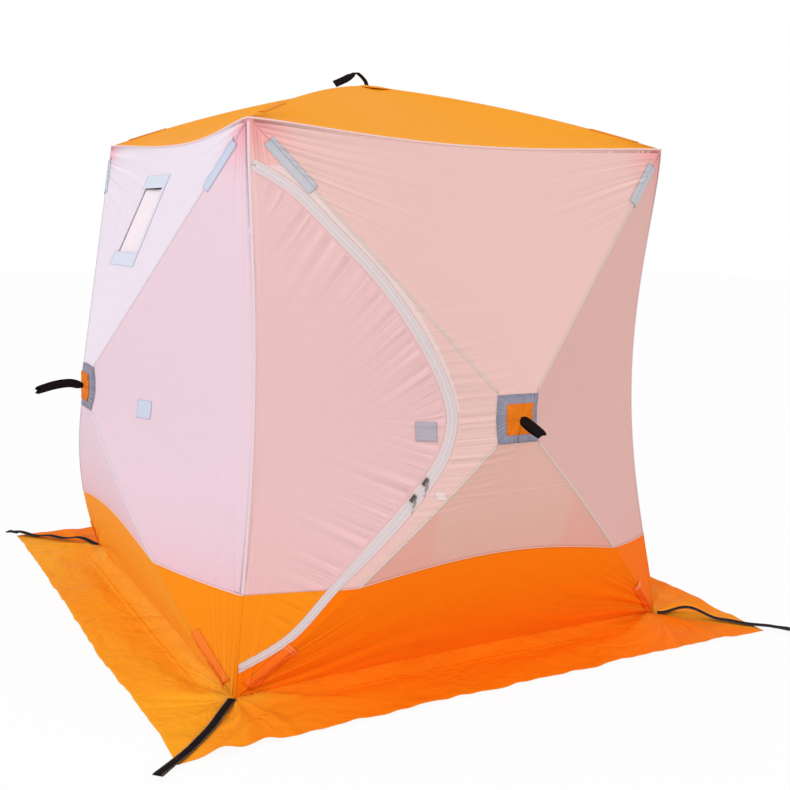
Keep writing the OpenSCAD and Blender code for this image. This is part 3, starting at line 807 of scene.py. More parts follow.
@dataclass(frozen=True)
class ClothFinish:
    """Woven cloth: its colour, the colour of the painted glow, light that shines through it near seams, and
    the height of its relief in metres.
    """

    name: str
    colour: Rgb
    glow: Rgb
    slot: str
    rough: float = 0.62
    threads: float = 2400.0
    weave: float = 0.00005
    crumple: float = 0.0022
    scale: float = 9.0
    folds: float = 0.008
    tone: float = 0.035
    shade: float = 0.5
    line: float = 0.0
    gloss: float = 0.16
    # Change of roughness with the tone, and share of the tone that creases take as painted shade
    UNEVEN, CREASED = 0.06, 0.6
    # Dark rows along a tape, its sewing and the painted shade beside the zip's coil: their spread as a share
    # of their place, their sharpness and their darkness
    SEWN_SPREAD, SEWN_SHARP, SEWN_DARK = 0.42, 700.0, 0.24

    def sewing(self, nodes: Nodes, flat: Value) -> Socket:
        """Draw dark rows along a tape: its sewing, and painted shade beside the zip's coil.

        Args:
            nodes: the material's nodes.
            flat: place on the flat cloth.

        Returns:
            How much darker the cloth is there.
        """
        across = nodes.math("ABSOLUTE", nodes.add("ShaderNodeSeparateXYZ", {0: flat}).outputs[0])
        gap = nodes.math("ABSOLUTE", nodes.math("SUBTRACT", across, self.line))
        gap = nodes.math("ABSOLUTE", nodes.math("SUBTRACT", gap, self.line * self.SEWN_SPREAD))
        sewn = nodes.math("SUBTRACT", 1.0, nodes.math("MULTIPLY", gap, self.SEWN_SHARP), clamp=True)
        return nodes.math("MULTIPLY", sewn, self.SEWN_DARK)

    def make(self) -> bpy.types.Material:
        """Build the material, once.

        Returns:
            The material.
        """
        if self.name in bpy.data.materials:
            return bpy.data.materials[self.name]
        material, nodes, shader = Nodes.material(self.name)
        flat = nodes.add("ShaderNodeUVMap", uv_map="UVMap").outputs[0]
        solid = nodes.add("ShaderNodeTexCoord").outputs["Object"]
        glow = nodes.add("ShaderNodeAttribute", attribute_name="glow").outputs["Fac"]
        folds = nodes.group("folds")
        tone = nodes.group("stain", Vector=solid).outputs[0]
        crumple = nodes.group("crumple", Vector=solid, Scale=self.scale).outputs[0]
        weave = nodes.group("weave", Vector=flat, Threads=self.threads).outputs[0]
        level = nodes.math("MULTIPLY_ADD", tone, self.tone, 1.0)
        # Painted shade and highlight of the fine folds
        level = nodes.math("ADD", level, nodes.math("MULTIPLY", folds.outputs["Shade"], self.shade))
        # Painted shade: darker where the crumpled creases lie
        level = nodes.math("SUBTRACT", level, nodes.math("MULTIPLY", crumple, self.tone * self.CREASED))
        # Sewing and painted shade beside the zip's coil, as dark rows along a tape
        if self.line:
            level = nodes.math("SUBTRACT", level, self.sewing(nodes, flat))
        # Painted glow: light through the cloth, blended in by the points' glow mark
        cloth = nodes.blend(glow, linear(self.colour), linear(self.glow))
        colour = nodes.add("ShaderNodeVectorMath", {0: cloth, 3: level}, operation="SCALE").outputs[0]
        nodes.put(shader.inputs["Base Color"], colour)
        nodes.put(shader.inputs["Roughness"], nodes.math("MULTIPLY_ADD", tone, self.UNEVEN, self.rough))
        shader.inputs["Specular IOR Level"].default_value = self.gloss
        height = nodes.math("MULTIPLY", folds.outputs["Height"], self.folds)
        height = nodes.math("ADD", height, nodes.math("MULTIPLY", crumple, self.crumple))
        height = nodes.math("ADD", height, nodes.math("MULTIPLY", weave, self.weave))
        nodes.uneven(shader, height)
        return material


@dataclass(frozen=True)
class HardFinish:
    """Webbing, plastic, metal or rod: two tones, gloss and a fine relief."""

    name: str
    colour: Rgb
    second: Rgb
    slot: str
    rough: float = 0.5
    metal: float = 0.0
    scale: float = 60.0
    relief: float = 0.0002
    ribs: float = 0.0
    edge: float = 0.0
    gloss: float = 0.5
    # Change of roughness with the grain
    UNEVEN = 0.2
    # Sewn edge: stitches as an angle along the webbing, where one starts, half a row's width, and its thread
    STITCHES, STITCH_START, ROW_HALF, THREAD = 900.0, -0.5, 0.0009, (176, 168, 166)

    def sewing(self, nodes: Nodes, flat: Value) -> Socket:
        """Draw a row of stitches along each edge.

        Args:
            nodes: the material's nodes.
            flat: place on the flat webbing.

        Returns:
            1 on a stitch and 0 beside it.
        """
        place = nodes.add("ShaderNodeSeparateXYZ", {0: flat})
        across = nodes.math("ABSOLUTE", place.outputs[0])
        gap = nodes.math("ABSOLUTE", nodes.math("SUBTRACT", across, self.edge))
        beat = nodes.math("SINE", nodes.math("MULTIPLY", place.outputs[1], self.STITCHES))
        dash = nodes.math("GREATER_THAN", beat, self.STITCH_START)
        return nodes.math("MULTIPLY", nodes.math("LESS_THAN", gap, self.ROW_HALF), dash)

    def make(self) -> bpy.types.Material:
        """Build the material, once.

        Returns:
            The material.
        """
        if self.name in bpy.data.materials:
            return bpy.data.materials[self.name]
        material, nodes, shader = Nodes.material(self.name)
        flat = nodes.add("ShaderNodeUVMap", uv_map="UVMap").outputs[0]
        solid = nodes.add("ShaderNodeTexCoord").outputs["Object"]
        grain = nodes.noise(solid, self.scale, 3.0, 0.6)
        colour = nodes.blend(grain, linear(self.colour), linear(self.second))
        if self.edge:
            colour = nodes.blend(self.sewing(nodes, flat), colour, linear(self.THREAD))
        nodes.put(shader.inputs["Base Color"], colour)
        rough = nodes.math("MULTIPLY_ADD", grain, self.UNEVEN, self.rough - self.UNEVEN / 2)
        nodes.put(shader.inputs["Roughness"], rough)
        shader.inputs["Metallic"].default_value = self.metal
        shader.inputs["Specular IOR Level"].default_value = self.gloss
        height = nodes.math("MULTIPLY", grain, self.relief)
        if self.ribs:
            ribs = nodes.group("weave", Vector=flat, Threads=self.ribs).outputs[0]
            height = nodes.math("ADD", height, nodes.math("MULTIPLY", ribs, self.relief))
        nodes.uneven(shader, height)
        return material


Finish = Union[ClothFinish, HardFinish]
# Colours of the pale cloth's painted glow, light that comes through it from the orange cloth
PINK = (245, 156, 156)
ROSE = (245, 160, 172)


class Look:
    """Finishes of the shelter."""

    # Front, side and top finishes of one cloth, as of the pale panels, bands, skirts, strips and ridge tapes,
    # differ by painted light: the tint of light through the cloth and how brightly each face is lit
    FRONT_TOP = ClothFinish("pale_front_top", (236, 195, 188), PINK, "pale_cloth")
    FRONT_SIDE = ClothFinish("pale_front_side", (226, 180, 172), PINK, "pale_cloth")
    FRONT_FOOT = ClothFinish("pale_front_foot", (225, 180, 167), (232, 158, 142), "pale_cloth")
    DOORWAY = ClothFinish("pale_doorway", (231, 193, 186), PINK, "pale_cloth")
    DOOR = ClothFinish("pale_door", (231, 190, 190), ROSE, "pale_cloth")
    SIDE_TOP = ClothFinish("lilac_top", (239, 227, 239), ROSE, "side_cloth")
    SIDE_SIDE = ClothFinish("lilac_side", (232, 206, 218), ROSE, "side_cloth")
    BAND = ClothFinish("orange_band", (255, 119, 4), (255, 142, 22), "band_cloth",
                       crumple=0.004, gloss=0.04)
    SIDE_BAND = ClothFinish("orange_side_band", (251, 144, 22), (252, 186, 62), "band_cloth",
                            crumple=0.004, gloss=0.05)
    ROOF = ClothFinish("amber_roof", (252, 164, 30), (252, 150, 30), "roof_cloth", gloss=0.08)
    ROOF_STRIP = ClothFinish("amber_strip", (246, 148, 30), (246, 148, 30), "roof_cloth")
    SKIRT = ClothFinish("orange_skirt", (255, 130, 12), (255, 174, 44), "skirt_cloth",
                        crumple=0.02, scale=5.0, folds=0.010, tone=0.08, gloss=0.05)
    SIDE_SKIRT = ClothFinish("amber_skirt", (255, 170, 36), (255, 190, 72), "skirt_cloth",
                             crumple=0.02, scale=5.0, folds=0.010, tone=0.08, gloss=0.05)
    GREY = ClothFinish("grey_patch", (166, 160, 178), (144, 144, 164), "grey_cloth", weave=0.0001)
    PALE_GREY = ClothFinish("blue_grey_strip", (204, 210, 230), (190, 198, 220), "grey_cloth")
    WARM_GREY = ClothFinish("warm_grey_strip", (197, 195, 202), (182, 184, 193), "grey_cloth")
    TIE = ClothFinish("grey_tie", (178, 171, 182), (170, 166, 180), "grey_cloth")
    BORDER = ClothFinish("pale_blue_border", (220, 225, 241), (212, 217, 236), "grey_cloth")
    FAINT = ClothFinish("faint_border", (232, 229, 243), (226, 222, 238), "grey_cloth")
    CENTRE = ClothFinish("orange_centre", (255, 136, 30), (255, 130, 28), "band_cloth",
                         shade=0.0, gloss=0.06)
    FOOT_STRIP = ClothFinish("rust_strip", (254, 118, 32), (254, 118, 32), "band_cloth", gloss=0.05)
    SIDE_STRIP = ClothFinish("side_rust_strip", (252, 132, 46), (252, 132, 46), "band_cloth", gloss=0.05)
    PANE = ClothFinish("window_flap", (250, 236, 242), (240, 206, 210), "pane_cloth")
    PIPING = ClothFinish("pink_piping", (244, 212, 206), (244, 212, 206), "pale_cloth")
    SEAM = ClothFinish("corner_seam", (234, 211, 218), (234, 211, 218), "pale_cloth")
    RIDGE = ClothFinish("ridge_tape", (219, 199, 191), (219, 199, 191), "pale_cloth")
    SIDE_RIDGE = ClothFinish("side_ridge_tape", (228, 218, 226), (228, 218, 226), "side_cloth")
    # Its line sets the dark rows: sewing, and painted shade beside the zip's coil
    TAPE = ClothFinish("woven_tape", (225, 210, 211), (230, 204, 205), "zip_tape",
                       threads=4000.0, crumple=0.0006, line=0.0064)
    GUARD = ClothFinish("zip_guard_cloth", (233, 208, 204), (238, 176, 178), "pale_cloth")
    FRONT_PIPING = ClothFinish("rose_piping", (238, 184, 162), (238, 184, 162), "pale_cloth")
    TAB = ClothFinish("pocket_tab", (233, 211, 208), (233, 211, 208), "pale_cloth")
    THREAD = ClothFinish("pale_thread", (255, 196, 160), (255, 196, 160), "band_cloth")
    HEM = ClothFinish("hem_thread", (216, 88, 10), (216, 88, 10), "band_cloth")
    STITCH = ClothFinish("pocket_thread", (236, 204, 195), (236, 204, 195), "pale_cloth")
    TEETH = HardFinish("zip_coil", (236, 228, 231), (226, 218, 222), "zip_tape", rough=0.45, ribs=2200.0)
    PULL = HardFinish("bright_metal", (96, 86, 80), (214, 206, 198), "zip_metal", rough=0.3, metal=0.7)
    METAL = HardFinish("plated_metal", (52, 44, 42), (150, 142, 138), "zip_metal", rough=0.22, metal=0.9)
    WEBBING = HardFinish("black_webbing", (15, 9, 10), (26, 18, 19), "webbing",
                         rough=0.85, relief=0.0004, ribs=2600.0, edge=0.0134, gloss=0.12)
    PLAIN_WEBBING = HardFinish("plain_webbing", (15, 9, 10), (28, 20, 21), "webbing",
                               rough=0.85, relief=0.0004, ribs=2600.0, gloss=0.12)
    POLE = HardFinish("composite_rod", (86, 90, 94), (70, 74, 78), "pole", rough=0.4, scale=30.0)
    HUB = HardFinish("moulded_hub", (62, 62, 66), (50, 50, 54), "hub", rough=0.55, scale=200.0)


class Shop:
    """Finishes pieces and ties them to the frame."""

    # Level line along which the cloth beside the door's sewn edge passes from the shelter to the door
    FOLD_START = (-0.80, -0.80, 0.9)
    FOLD_END = (-0.64, -0.80, 0.9)

    @staticmethod
    def dress(piece: Piece, finish: Finish) -> None:
        """Give a piece its finish."""
        piece.data.materials.clear()
        piece.data.materials.append(finish.make())

    @classmethod
    def fit(cls, piece: Piece, *nodes: str, body: str = "shelter",
            hinge: bool = False) -> Piece:
        """Tie a piece to its body, or bake its place into its mesh where it is hinged, and hide the nodes
        that it stands for.

        Args:
            piece: the finished piece.
            nodes: CAD nodes that it stands for.
            body: the body that it rides on.
            hinge: whether it lies at the door's sewn edge, and so is baked in place and tied to no body.

        Returns:
            The piece.
        """
        if hinge:
            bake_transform(piece)
        else:
            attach(piece, body)
        if nodes:
            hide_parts(*nodes)
        LOG.info("%s: %d faces", piece.name, len(piece.data.polygons))
        return piece

    @staticmethod
    def cloth(piece: Piece, flat: tuple[float, float], hold: Hold, rests_on: Sequence[str]) -> None:
        """Do nothing with a piece of cloth, its flat size, its hold or what it rests on."""


@dataclass
class WallCloth:
    """One wall's pale panels and lower band."""

    side: Side
    shell: Shell
    top: ClothFinish
    flank: ClothFinish
    foot: ClothFinish
    band: ClothFinish
    ridge: ClothFinish
    mirror: bool = False
    window: Optional[tuple[float, float, float, float]] = None
    open_left: bool = False
    folds: Optional[Callable] = None
    drawn: Optional[Callable] = None
    # Width and length that a wall's pale cloth and its band are cut from
    WALL_FLAT, BAND_FLAT = (1.9, 1.95), (2.0, 0.55)
    # Share of the painted glow, light through the cloth, over the band, on the front and back walls and on
    # the side walls
    FACE_GLOW, SIDE_GLOW = 0.12, 0.3
    # Middle, half width and top of the pocket, whose painted shade shows through the front wall
    POCKET = (-0.004, 0.272, 0.655)
    # Half width of a ridge's flat seam, and share of the upper ridges at which it ends
    SEAM_HALF, SEAM_END = 0.0042, 0.80

    @property
    def word(self) -> str:
        """The wall's name."""
        return self.side.name.lower()

    @property
    def flanks(self) -> tuple[int, ...]:
        """Sides with a whole panel: the right one, and the left one where there is no door."""
        return (1,) if self.open_left else (1, -1)

    def settle(self, points: Array) -> Array:
        """Bring points of the front wall's frame to this wall."""
        if self.mirror:
            points = points * (-1, 1, 1)
        return self.side.turn(points)

    def outward(self) -> Array:
        """Direction that this wall faces."""
        return self.side.turn(np.array([0.0, -1.0, 0.0]))

    def wall_glow(self, x: Array, z: Array, near: Array) -> Array:
        """Work out how much painted glow, light through the pale cloth, it takes near its corners, over the
        band and round the pocket.

        Args:
            x: places across the wall.
            z: heights.
            near: nearness to a corner.

        Returns:
            Share of the cloth's glow colour.
        """
        low = self.FACE_GLOW if self.side.front_or_back else self.SIDE_GLOW
        # Painted glow: light through the cloth over the band and near the corners
        glow = low * np.exp(-(z - self.shell.band_z(x)) / 0.1) + 0.9 * near
        if self.side is Side.FRONT:
            middle, half, top = self.POCKET
            down = (self.shell.hub_h - z) / (self.shell.hub_h - self.shell.hem_z)
            foot = (z < self.shell.hub_h) & (np.abs(x) / self.shell.base_half < down)
            inside = smooth((half - np.abs(x - middle)) / 0.006) * smooth((top - z) / 0.006)
            # The pocket shows as painted shade: more glow beside it in the foot panel than over it
            glow = glow + foot * (0.26 * smooth((top - z) / 0.02) - 0.30 * inside)
        return np.clip(glow, 0, 1)

    def marks(self, x: Array, z: Array, banded: bool = False) -> dict[str, Array]:
        """Values that the cloth's finish reads.

        Args:
            x: places across the wall.
            z: heights.
            banded: whether the cloth is the lower band.

        Returns:
            Glow, course and weight at each point.
        """
        _, course, weight, near = self.shell.gathers(x, z)
        if self.drawn is not None:
            beside, drawn = self.drawn(x, z)
            course = np.where(drawn > weight, beside, course)
            weight = np.abs(weight - drawn)
        if banded:
            # Painted glow on the band near the corners, and on its foot panel, most near the ground
            foot = self.shell.locate(x, z)[0] == 2
            glow = np.clip(0.3 * near + foot * (0.25 + 0.75 * np.exp(-z / 0.14)), 0, 1)
        else:
            glow = self.wall_glow(x, z, near)
        return {"glow": glow, "course": course, "weight": weight}

    def lay(self, name: str, x: Array, z: Array, finish: ClothFinish, lift: Array = 0.0,
            thick: float = Bench.CLOTH, banded: bool = False,
            cut: Optional[Callable] = None) -> Piece:
        """Lay cloth over places of this wall's elevation.

        Args:
            name: the piece's name.
            x: rows of places across the wall.
            z: rows of heights.
            finish: its finish.
            lift: distance off the wall.
            thick: thickness.
            banded: whether it is part of the lower band.
            cut: change to the flat grid.

        Returns:
            The piece.
        """
        points = self.settle(self.shell.at(x, z, lift, self.folds))
        flat = np.stack([x, z], -1)
        piece = Bench.sheet(name, points, flat, self.outward(), thick, self.marks(x, z, banded), cut)
        Shop.dress(piece, finish)
        return piece

    @staticmethod
    def spread(count: int, ease: float = 0.55) -> Array:
        """Shares from 0 to 1 that lie closer near the ends."""
        k = np.linspace(0, 1, count)
        return mix(k, (1 - np.cos(math.pi * k)) / 2, ease)

    def rays(self, edge: Array, start: Array, end: Array, count: int) -> tuple[Array, Array]:
        """Places along lines from the hub to an edge, between two shares."""
        k = np.linspace(0, 1, count) ** 0.85
        v = mix(np.asarray(start)[:, None], np.asarray(end)[:, None], k[None])
        return v * edge[:, :1], mix(self.shell.hub_h, edge[:, 1:], v)

    def edge_of(self, t: Array, sign: int) -> Array:
        """x and z of a corner seam."""
        return np.stack([sign * self.shell.corner_half(t), self.shell.seam_z(t)], -1)

    def hem(self, t: Array) -> Array:
        """x and z of the hem."""
        return np.stack([(2 * t - 1) * self.shell.base_half, np.full_like(t, self.shell.hem_z)], -1)

    def ridge_at(self, sign: int, end: tuple[float, float], v: Array, k: Array) -> tuple[Array, Array]:
        """Places along a ridge, at shares v from the hub and a distance k beside it."""
        dx, dz = sign * end[0], end[1] - self.shell.hub_h
        size = math.hypot(dx, dz)
        return v * dx - k * dz / size, self.shell.hub_h + v * dz + k * dx / size

    def pierce(self, piece: Piece) -> None:
        """Cut the window's opening into the flat grid of the top panel.

        Args:
            piece: the panel.
        """
        x0, z0, x1, z1 = self.window
        ends = self.settle(np.array([[x0, -1.0, z0], [x1, -1.0, z1]]))
        axis = 0 if self.side.front_or_back else 1
        lo, hi = sorted((ends[0][axis], ends[1][axis]))
        way, up = Vector((0, 0, 0)), Vector((0, 0, 1))
        way[axis] = 1
        with Bench.editing(piece):
            for spot, normal in ((lo, way), (hi, way), (z0, up), (z1, up)):
                bpy.ops.mesh.select_all(action="SELECT")
                bpy.ops.mesh.bisect(plane_co=normal * spot, plane_no=normal)
        for face in piece.data.polygons:
            face.select = bool(lo < face.center[axis] < hi and z0 < face.center.z < z1)
        with Bench.editing(piece, whole=False):
            bpy.ops.mesh.select_mode(type="FACE")
            bpy.ops.mesh.delete(type="FACE")
            bpy.ops.mesh.select_mode(type="VERT")

    def panels(self) -> list[Piece]:
        """Make the pale panels of the wall.

        Returns:
            The top panel, the flanks and the foot panel.
        """
        hub = self.shell.hub_share
        t = self.spread(121)
        eave = self.shell.eave(t)[:, [0, 2]]
        x, z = self.rays(eave, np.full_like(t, hub), np.ones_like(t), 56)
        parts = [self.lay("top", x, z, self.top, cut=self.pierce if self.window else None)]
        band = self.shell.band_t
        t = np.concatenate([np.linspace(0, band, 25)[:-1], mix(band, 1, self.spread(90, 0.4))])
        for sign in self.flanks:
            edge = self.edge_of(t, sign)
            end = np.where(t < band - 1e-9, self.shell.band_v(np.abs(edge[:, 0]), edge[:, 1]), 1.0)
            x, z = self.rays(edge, np.full_like(t, hub), end, 60)
            parts.append(self.lay("flank", x, z, self.flank))
        t = np.linspace(0, 1, 81)
        edge = self.hem(t)
        x, z = self.rays(edge, np.full_like(t, hub), self.shell.band_v(edge[:, 0], edge[:, 1]), 40)
        return parts + [self.lay("foot", x, z, self.foot)]

    def bands(self) -> list[Piece]:
        """Make the orange panels of the lower band.

        Returns:
            The flanks' panels and the foot's panel.
        """
        t = np.linspace(0, self.shell.band_t, 45)
        parts = []
        for sign in self.flanks:
            edge = self.edge_of(t, sign)
            start = np.minimum(self.shell.band_v(np.abs(edge[:, 0]), edge[:, 1]), 1.0)
            x, z = self.rays(edge, start, np.ones_like(t), 45)
            parts.append(self.lay("band", x, z, self.band, banded=True))
        t = self.spread(121, 0.4)
        edge = self.hem(t)
        x, z = self.rays(edge, self.shell.band_v(edge[:, 0], edge[:, 1]), np.ones_like(t), 40)
        return parts + [self.lay("band", x, z, self.band, banded=True)]

    def ridge_seams(self) -> None:
        """Lay flat seams on the ridges, from the hub's patch to the pole pockets."""
        parts = []
        k = np.linspace(-1, 1, 5)[None] * self.SEAM_HALF
        lift = 0.0014 + 0.0008 * (1 - (k / self.SEAM_HALF) ** 2)
        for sign in (1, -1):
            for tip, end in ((self.shell.high, self.SEAM_END), (self.shell.low, self.shell.ridge_band)):
                v = np.linspace(self.shell.patch_share, end, 60)[:, None]
                x, z = self.ridge_at(sign, tip, v, k)
                parts.append(self.lay("ridge", x, z, self.ridge, lift, 0.0008))
        Shop.fit(Bench.join(self.word + "_ridge_seams", parts))

    def band_piping(self, x0: float, x1: float) -> Array:
        """Middle line of the piping over the lower band, from x0 to x1."""
        x = np.linspace(x0, x1, 140)
        return self.settle(self.shell.at(x, self.shell.band_z(x), 0.002, self.folds))

    def build(self) -> None:
        """Make the wall's cloth and tie it to the shelter."""
        wall = Shop.fit(Bench.join(self.word + "_wall_cloth", self.panels()), self.word + "_wall")
        Shop.cloth(wall, self.WALL_FLAT, Hold.STRETCHED, [self.word + "_poles"])
        if not self.open_left:
            band = Shop.fit(Bench.join(self.word + "_band_cloth", self.bands()), self.word + "_band")
            Shop.cloth(band, self.BAND_FLAT, Hold.STRETCHED, [self.word + "_poles"])
        self.ridge_seams()


@dataclass
class Doorway:
    """The cloth round the door, the door flap and the zip between them."""

    wall: WallCloth
    zip: ZipLine
    tape: float = 0.0156
    shown: float = 0.0112
    # Shares of the zip at which the edge that faces it turns: corner, hub's top, hub's foot, corner
    TURNS = (0.03, 0.46, 0.60, 0.97)
    # Distance of the doorway's edge from the zip's ends, as a share of the corner seam
    CLEAR = 0.004
    # Shares of the zip at which the flap starts and ends, and distance of its edge from the corner seam
    FLAP_ENDS, SEWN_GAP = (0.001, 0.999), 0.0004
    # Share of the zip at which its tapes start, and points along them
    TAPE_START, TAPE_ROWS = 0.007, 420

    @staticmethod
    def span(start: Array, end: Array, columns: int, ease: float = 1.3) -> tuple[Array, Array]:
        """Places from the zip to another line, closest together at the zip."""
        k = (np.linspace(0, 1, columns) ** ease)[None, :, None]
        places = mix(start[:, None], end[:, None], k)
        return places[..., 0], places[..., 1]

    def ridge(self, end: tuple[float, float], v: Array) -> Array:
        """x and z of places on one of the wall's left ridges."""
        return np.stack(self.wall.ridge_at(-1, end, v, 0.0), -1)

    def outline(self) -> tuple[Array, Array, int]:
        """Follow the doorway's edge away from the zip, from the zip's top end to its foot.

        Returns:
            Shares of the zip, the places that face them, and the row at which the band starts.
        """
        wall, shell, z = self.wall, self.wall.shell, self.zip
        top, hub, under, foot = self.TURNS
        band = shell.ridge_band
        plate = wall.edge_of(np.linspace(1, 0, 24), -1) * shell.hub_share
        plate = plate + np.array([0, shell.hub_h]) * (1 - shell.hub_share)
        shares = [np.linspace(0, top, 8)[:-1],
                  np.linspace(top, hub, 100)[:-1],
                  np.linspace(hub, under, 24)[:-1],
                  np.linspace(under, z.band, 60),
                  np.linspace(z.band, foot, 50)[1:-1],
                  np.linspace(foot, 1, 8)]
        places = [wall.edge_of(np.linspace(z.TOP + self.CLEAR, 1, 8)[:-1], -1),
                  self.ridge(shell.high, np.linspace(1, shell.hub_share, 100)[:-1]),
                  plate[:-1],
                  self.ridge(shell.low, np.linspace(shell.hub_share, band, 60)),
                  self.ridge(shell.low, np.linspace(band, 1, 50)[1:-1]),
                  wall.edge_of(np.linspace(0, z.FOOT - self.CLEAR, 8), -1)]
        band_row = sum(len(part) for part in shares[:4])
        return np.concatenate(shares), np.concatenate(places), band_row

    def surround(self) -> None:
        """Make the cloth between the zip and the ridges."""
        s, edge, row = self.outline()
        near = self.zip.offset(s, self.zip.half_gap(s))
        x, z = self.span(near, edge, 30)
        pale = self.wall.lay("front_doorway_cloth", x[:row], z[:row], Look.DOORWAY)
        Shop.fit(pale, "front_doorway")
        Shop.cloth(pale, (0.3, 1.2), Hold.STRETCHED, ["front_poles"])
        foot = self.wall.lay("foot", x[row - 1:], z[row - 1:], self.wall.band, banded=True)
        band = Shop.fit(Bench.join("front_band_cloth", self.wall.bands() + [foot]), "front_band")
        Shop.cloth(band, WallCloth.BAND_FLAT, Hold.STRETCHED, ["front_poles"])

    def flap_tip(self, s: float) -> tuple[float, float]:
        """An end of the flap, as a share of the zip and a share of the corner seam."""
        z = self.zip.offset(np.array(s), np.array(-self.zip.GAP / 2))[1]
        return s, self.wall.shell.seam_t(z)

    def flap(self) -> None:
        """Make the door flap's pale part and its part of the band, from the zip to the corner seam."""
        top, foot = (self.flap_tip(s) for s in self.FLAP_ENDS)
        band = (self.zip.band, self.wall.shell.band_t)
        for node, start, end, rows, finish, flat in (
                ("door_flap", top, band, 200, Look.DOOR, (0.85, 1.65)),
                ("door_flap_band", band, foot, 60, Look.SIDE_BAND, (0.4, 0.26))):
            s, t = np.linspace(start[0], end[0], rows), np.linspace(start[1], end[1], rows)
            near = self.zip.offset(s, -self.zip.half_gap(s))
            x, z = self.span(near, self.wall.edge_of(t, -1) + (self.SEWN_GAP, 0), 48)
            piece = self.wall.lay(node + "_cloth", x, z, finish, banded=finish is Look.SIDE_BAND)
            Shop.fit(piece, node, hinge=True)
            Shop.cloth(piece, flat, Hold.HUNG, ["front_doorway"])

    def tapes(self) -> None:
        """Make the zip's two tapes, each with its row of teeth."""
        shell, z = self.wall.shell, self.zip
        s, k = np.linspace(self.TAPE_START, 1, self.TAPE_ROWS), np.linspace(0, 1, 9)
        wide = mix(self.tape, self.shown, smooth((s - z.band + 0.1) / 0.1))
        lift = 0.0021 + 0.0014 * (1 - k) ** 3
        run = np.interp(s, z.grid, z.run)
        toothed = s[4:-4]
        for word, sign, hinge in (("wall", 1, False), ("door", -1, True)):
            d = sign * (0.0006 + k[None] * wide[:, None])
            place = z.offset(np.broadcast_to(s[:, None], d.shape), d)
            seam = 0.006 - shell.corner_half(shell.seam_t(place[..., 1]))
            points = shell.at(np.maximum(place[..., 0], seam), place[..., 1], lift, self.wall.folds)
            uv = np.stack(np.broadcast_arrays(d, run[:, None]), -1)
            glow = {"glow": smooth((np.abs(d) - 0.0115) / 0.003)}
            tape = Bench.sheet(word + "_zip_tape", points, uv, (0, -1, 0), 0.0009, glow)
            Shop.dress(tape, Look.TAPE)
            Shop.fit(tape, word + "_zip", hinge=hinge)
            Shop.cloth(tape, (0.024, 3.4), Hold.STRETCHED, ["front_doorway"])
            place = z.offset(toothed, np.full_like(toothed, sign * 0.0012))
            line = shell.at(place[:, 0], place[:, 1], 0.0036, self.wall.folds)
            coil = Bench.tube(word + "_zip_coil", [line], 0.0017)
            Shop.dress(coil, Look.TEETH)
            Shop.fit(coil, hinge=hinge)

    def guard(self) -> None:
        """Make the edge of the inner flap that shows beside the upper half of the zip."""
        s, k = np.linspace(0.03, 0.5, 160)[:, None], np.linspace(0, 1, 7)[None]
        wide = mix(0.030, 0.010, smooth((s - 0.1) / 0.4)) * smooth((s - 0.025) / 0.03)
        place = self.zip.offset(s + 0 * k, self.tape + k * wide)
        lift = 0.0013 - 0.0003 * k
        piece = self.wall.lay("zip_guard", place[..., 0], place[..., 1], Look.GUARD, lift, 0.0004)
        Shop.fit(piece)

    def build(self) -> None:
        """Make the doorway, the flap and the zip."""
        self.surround()
        self.flap()
        self.tapes()
        self.guard()


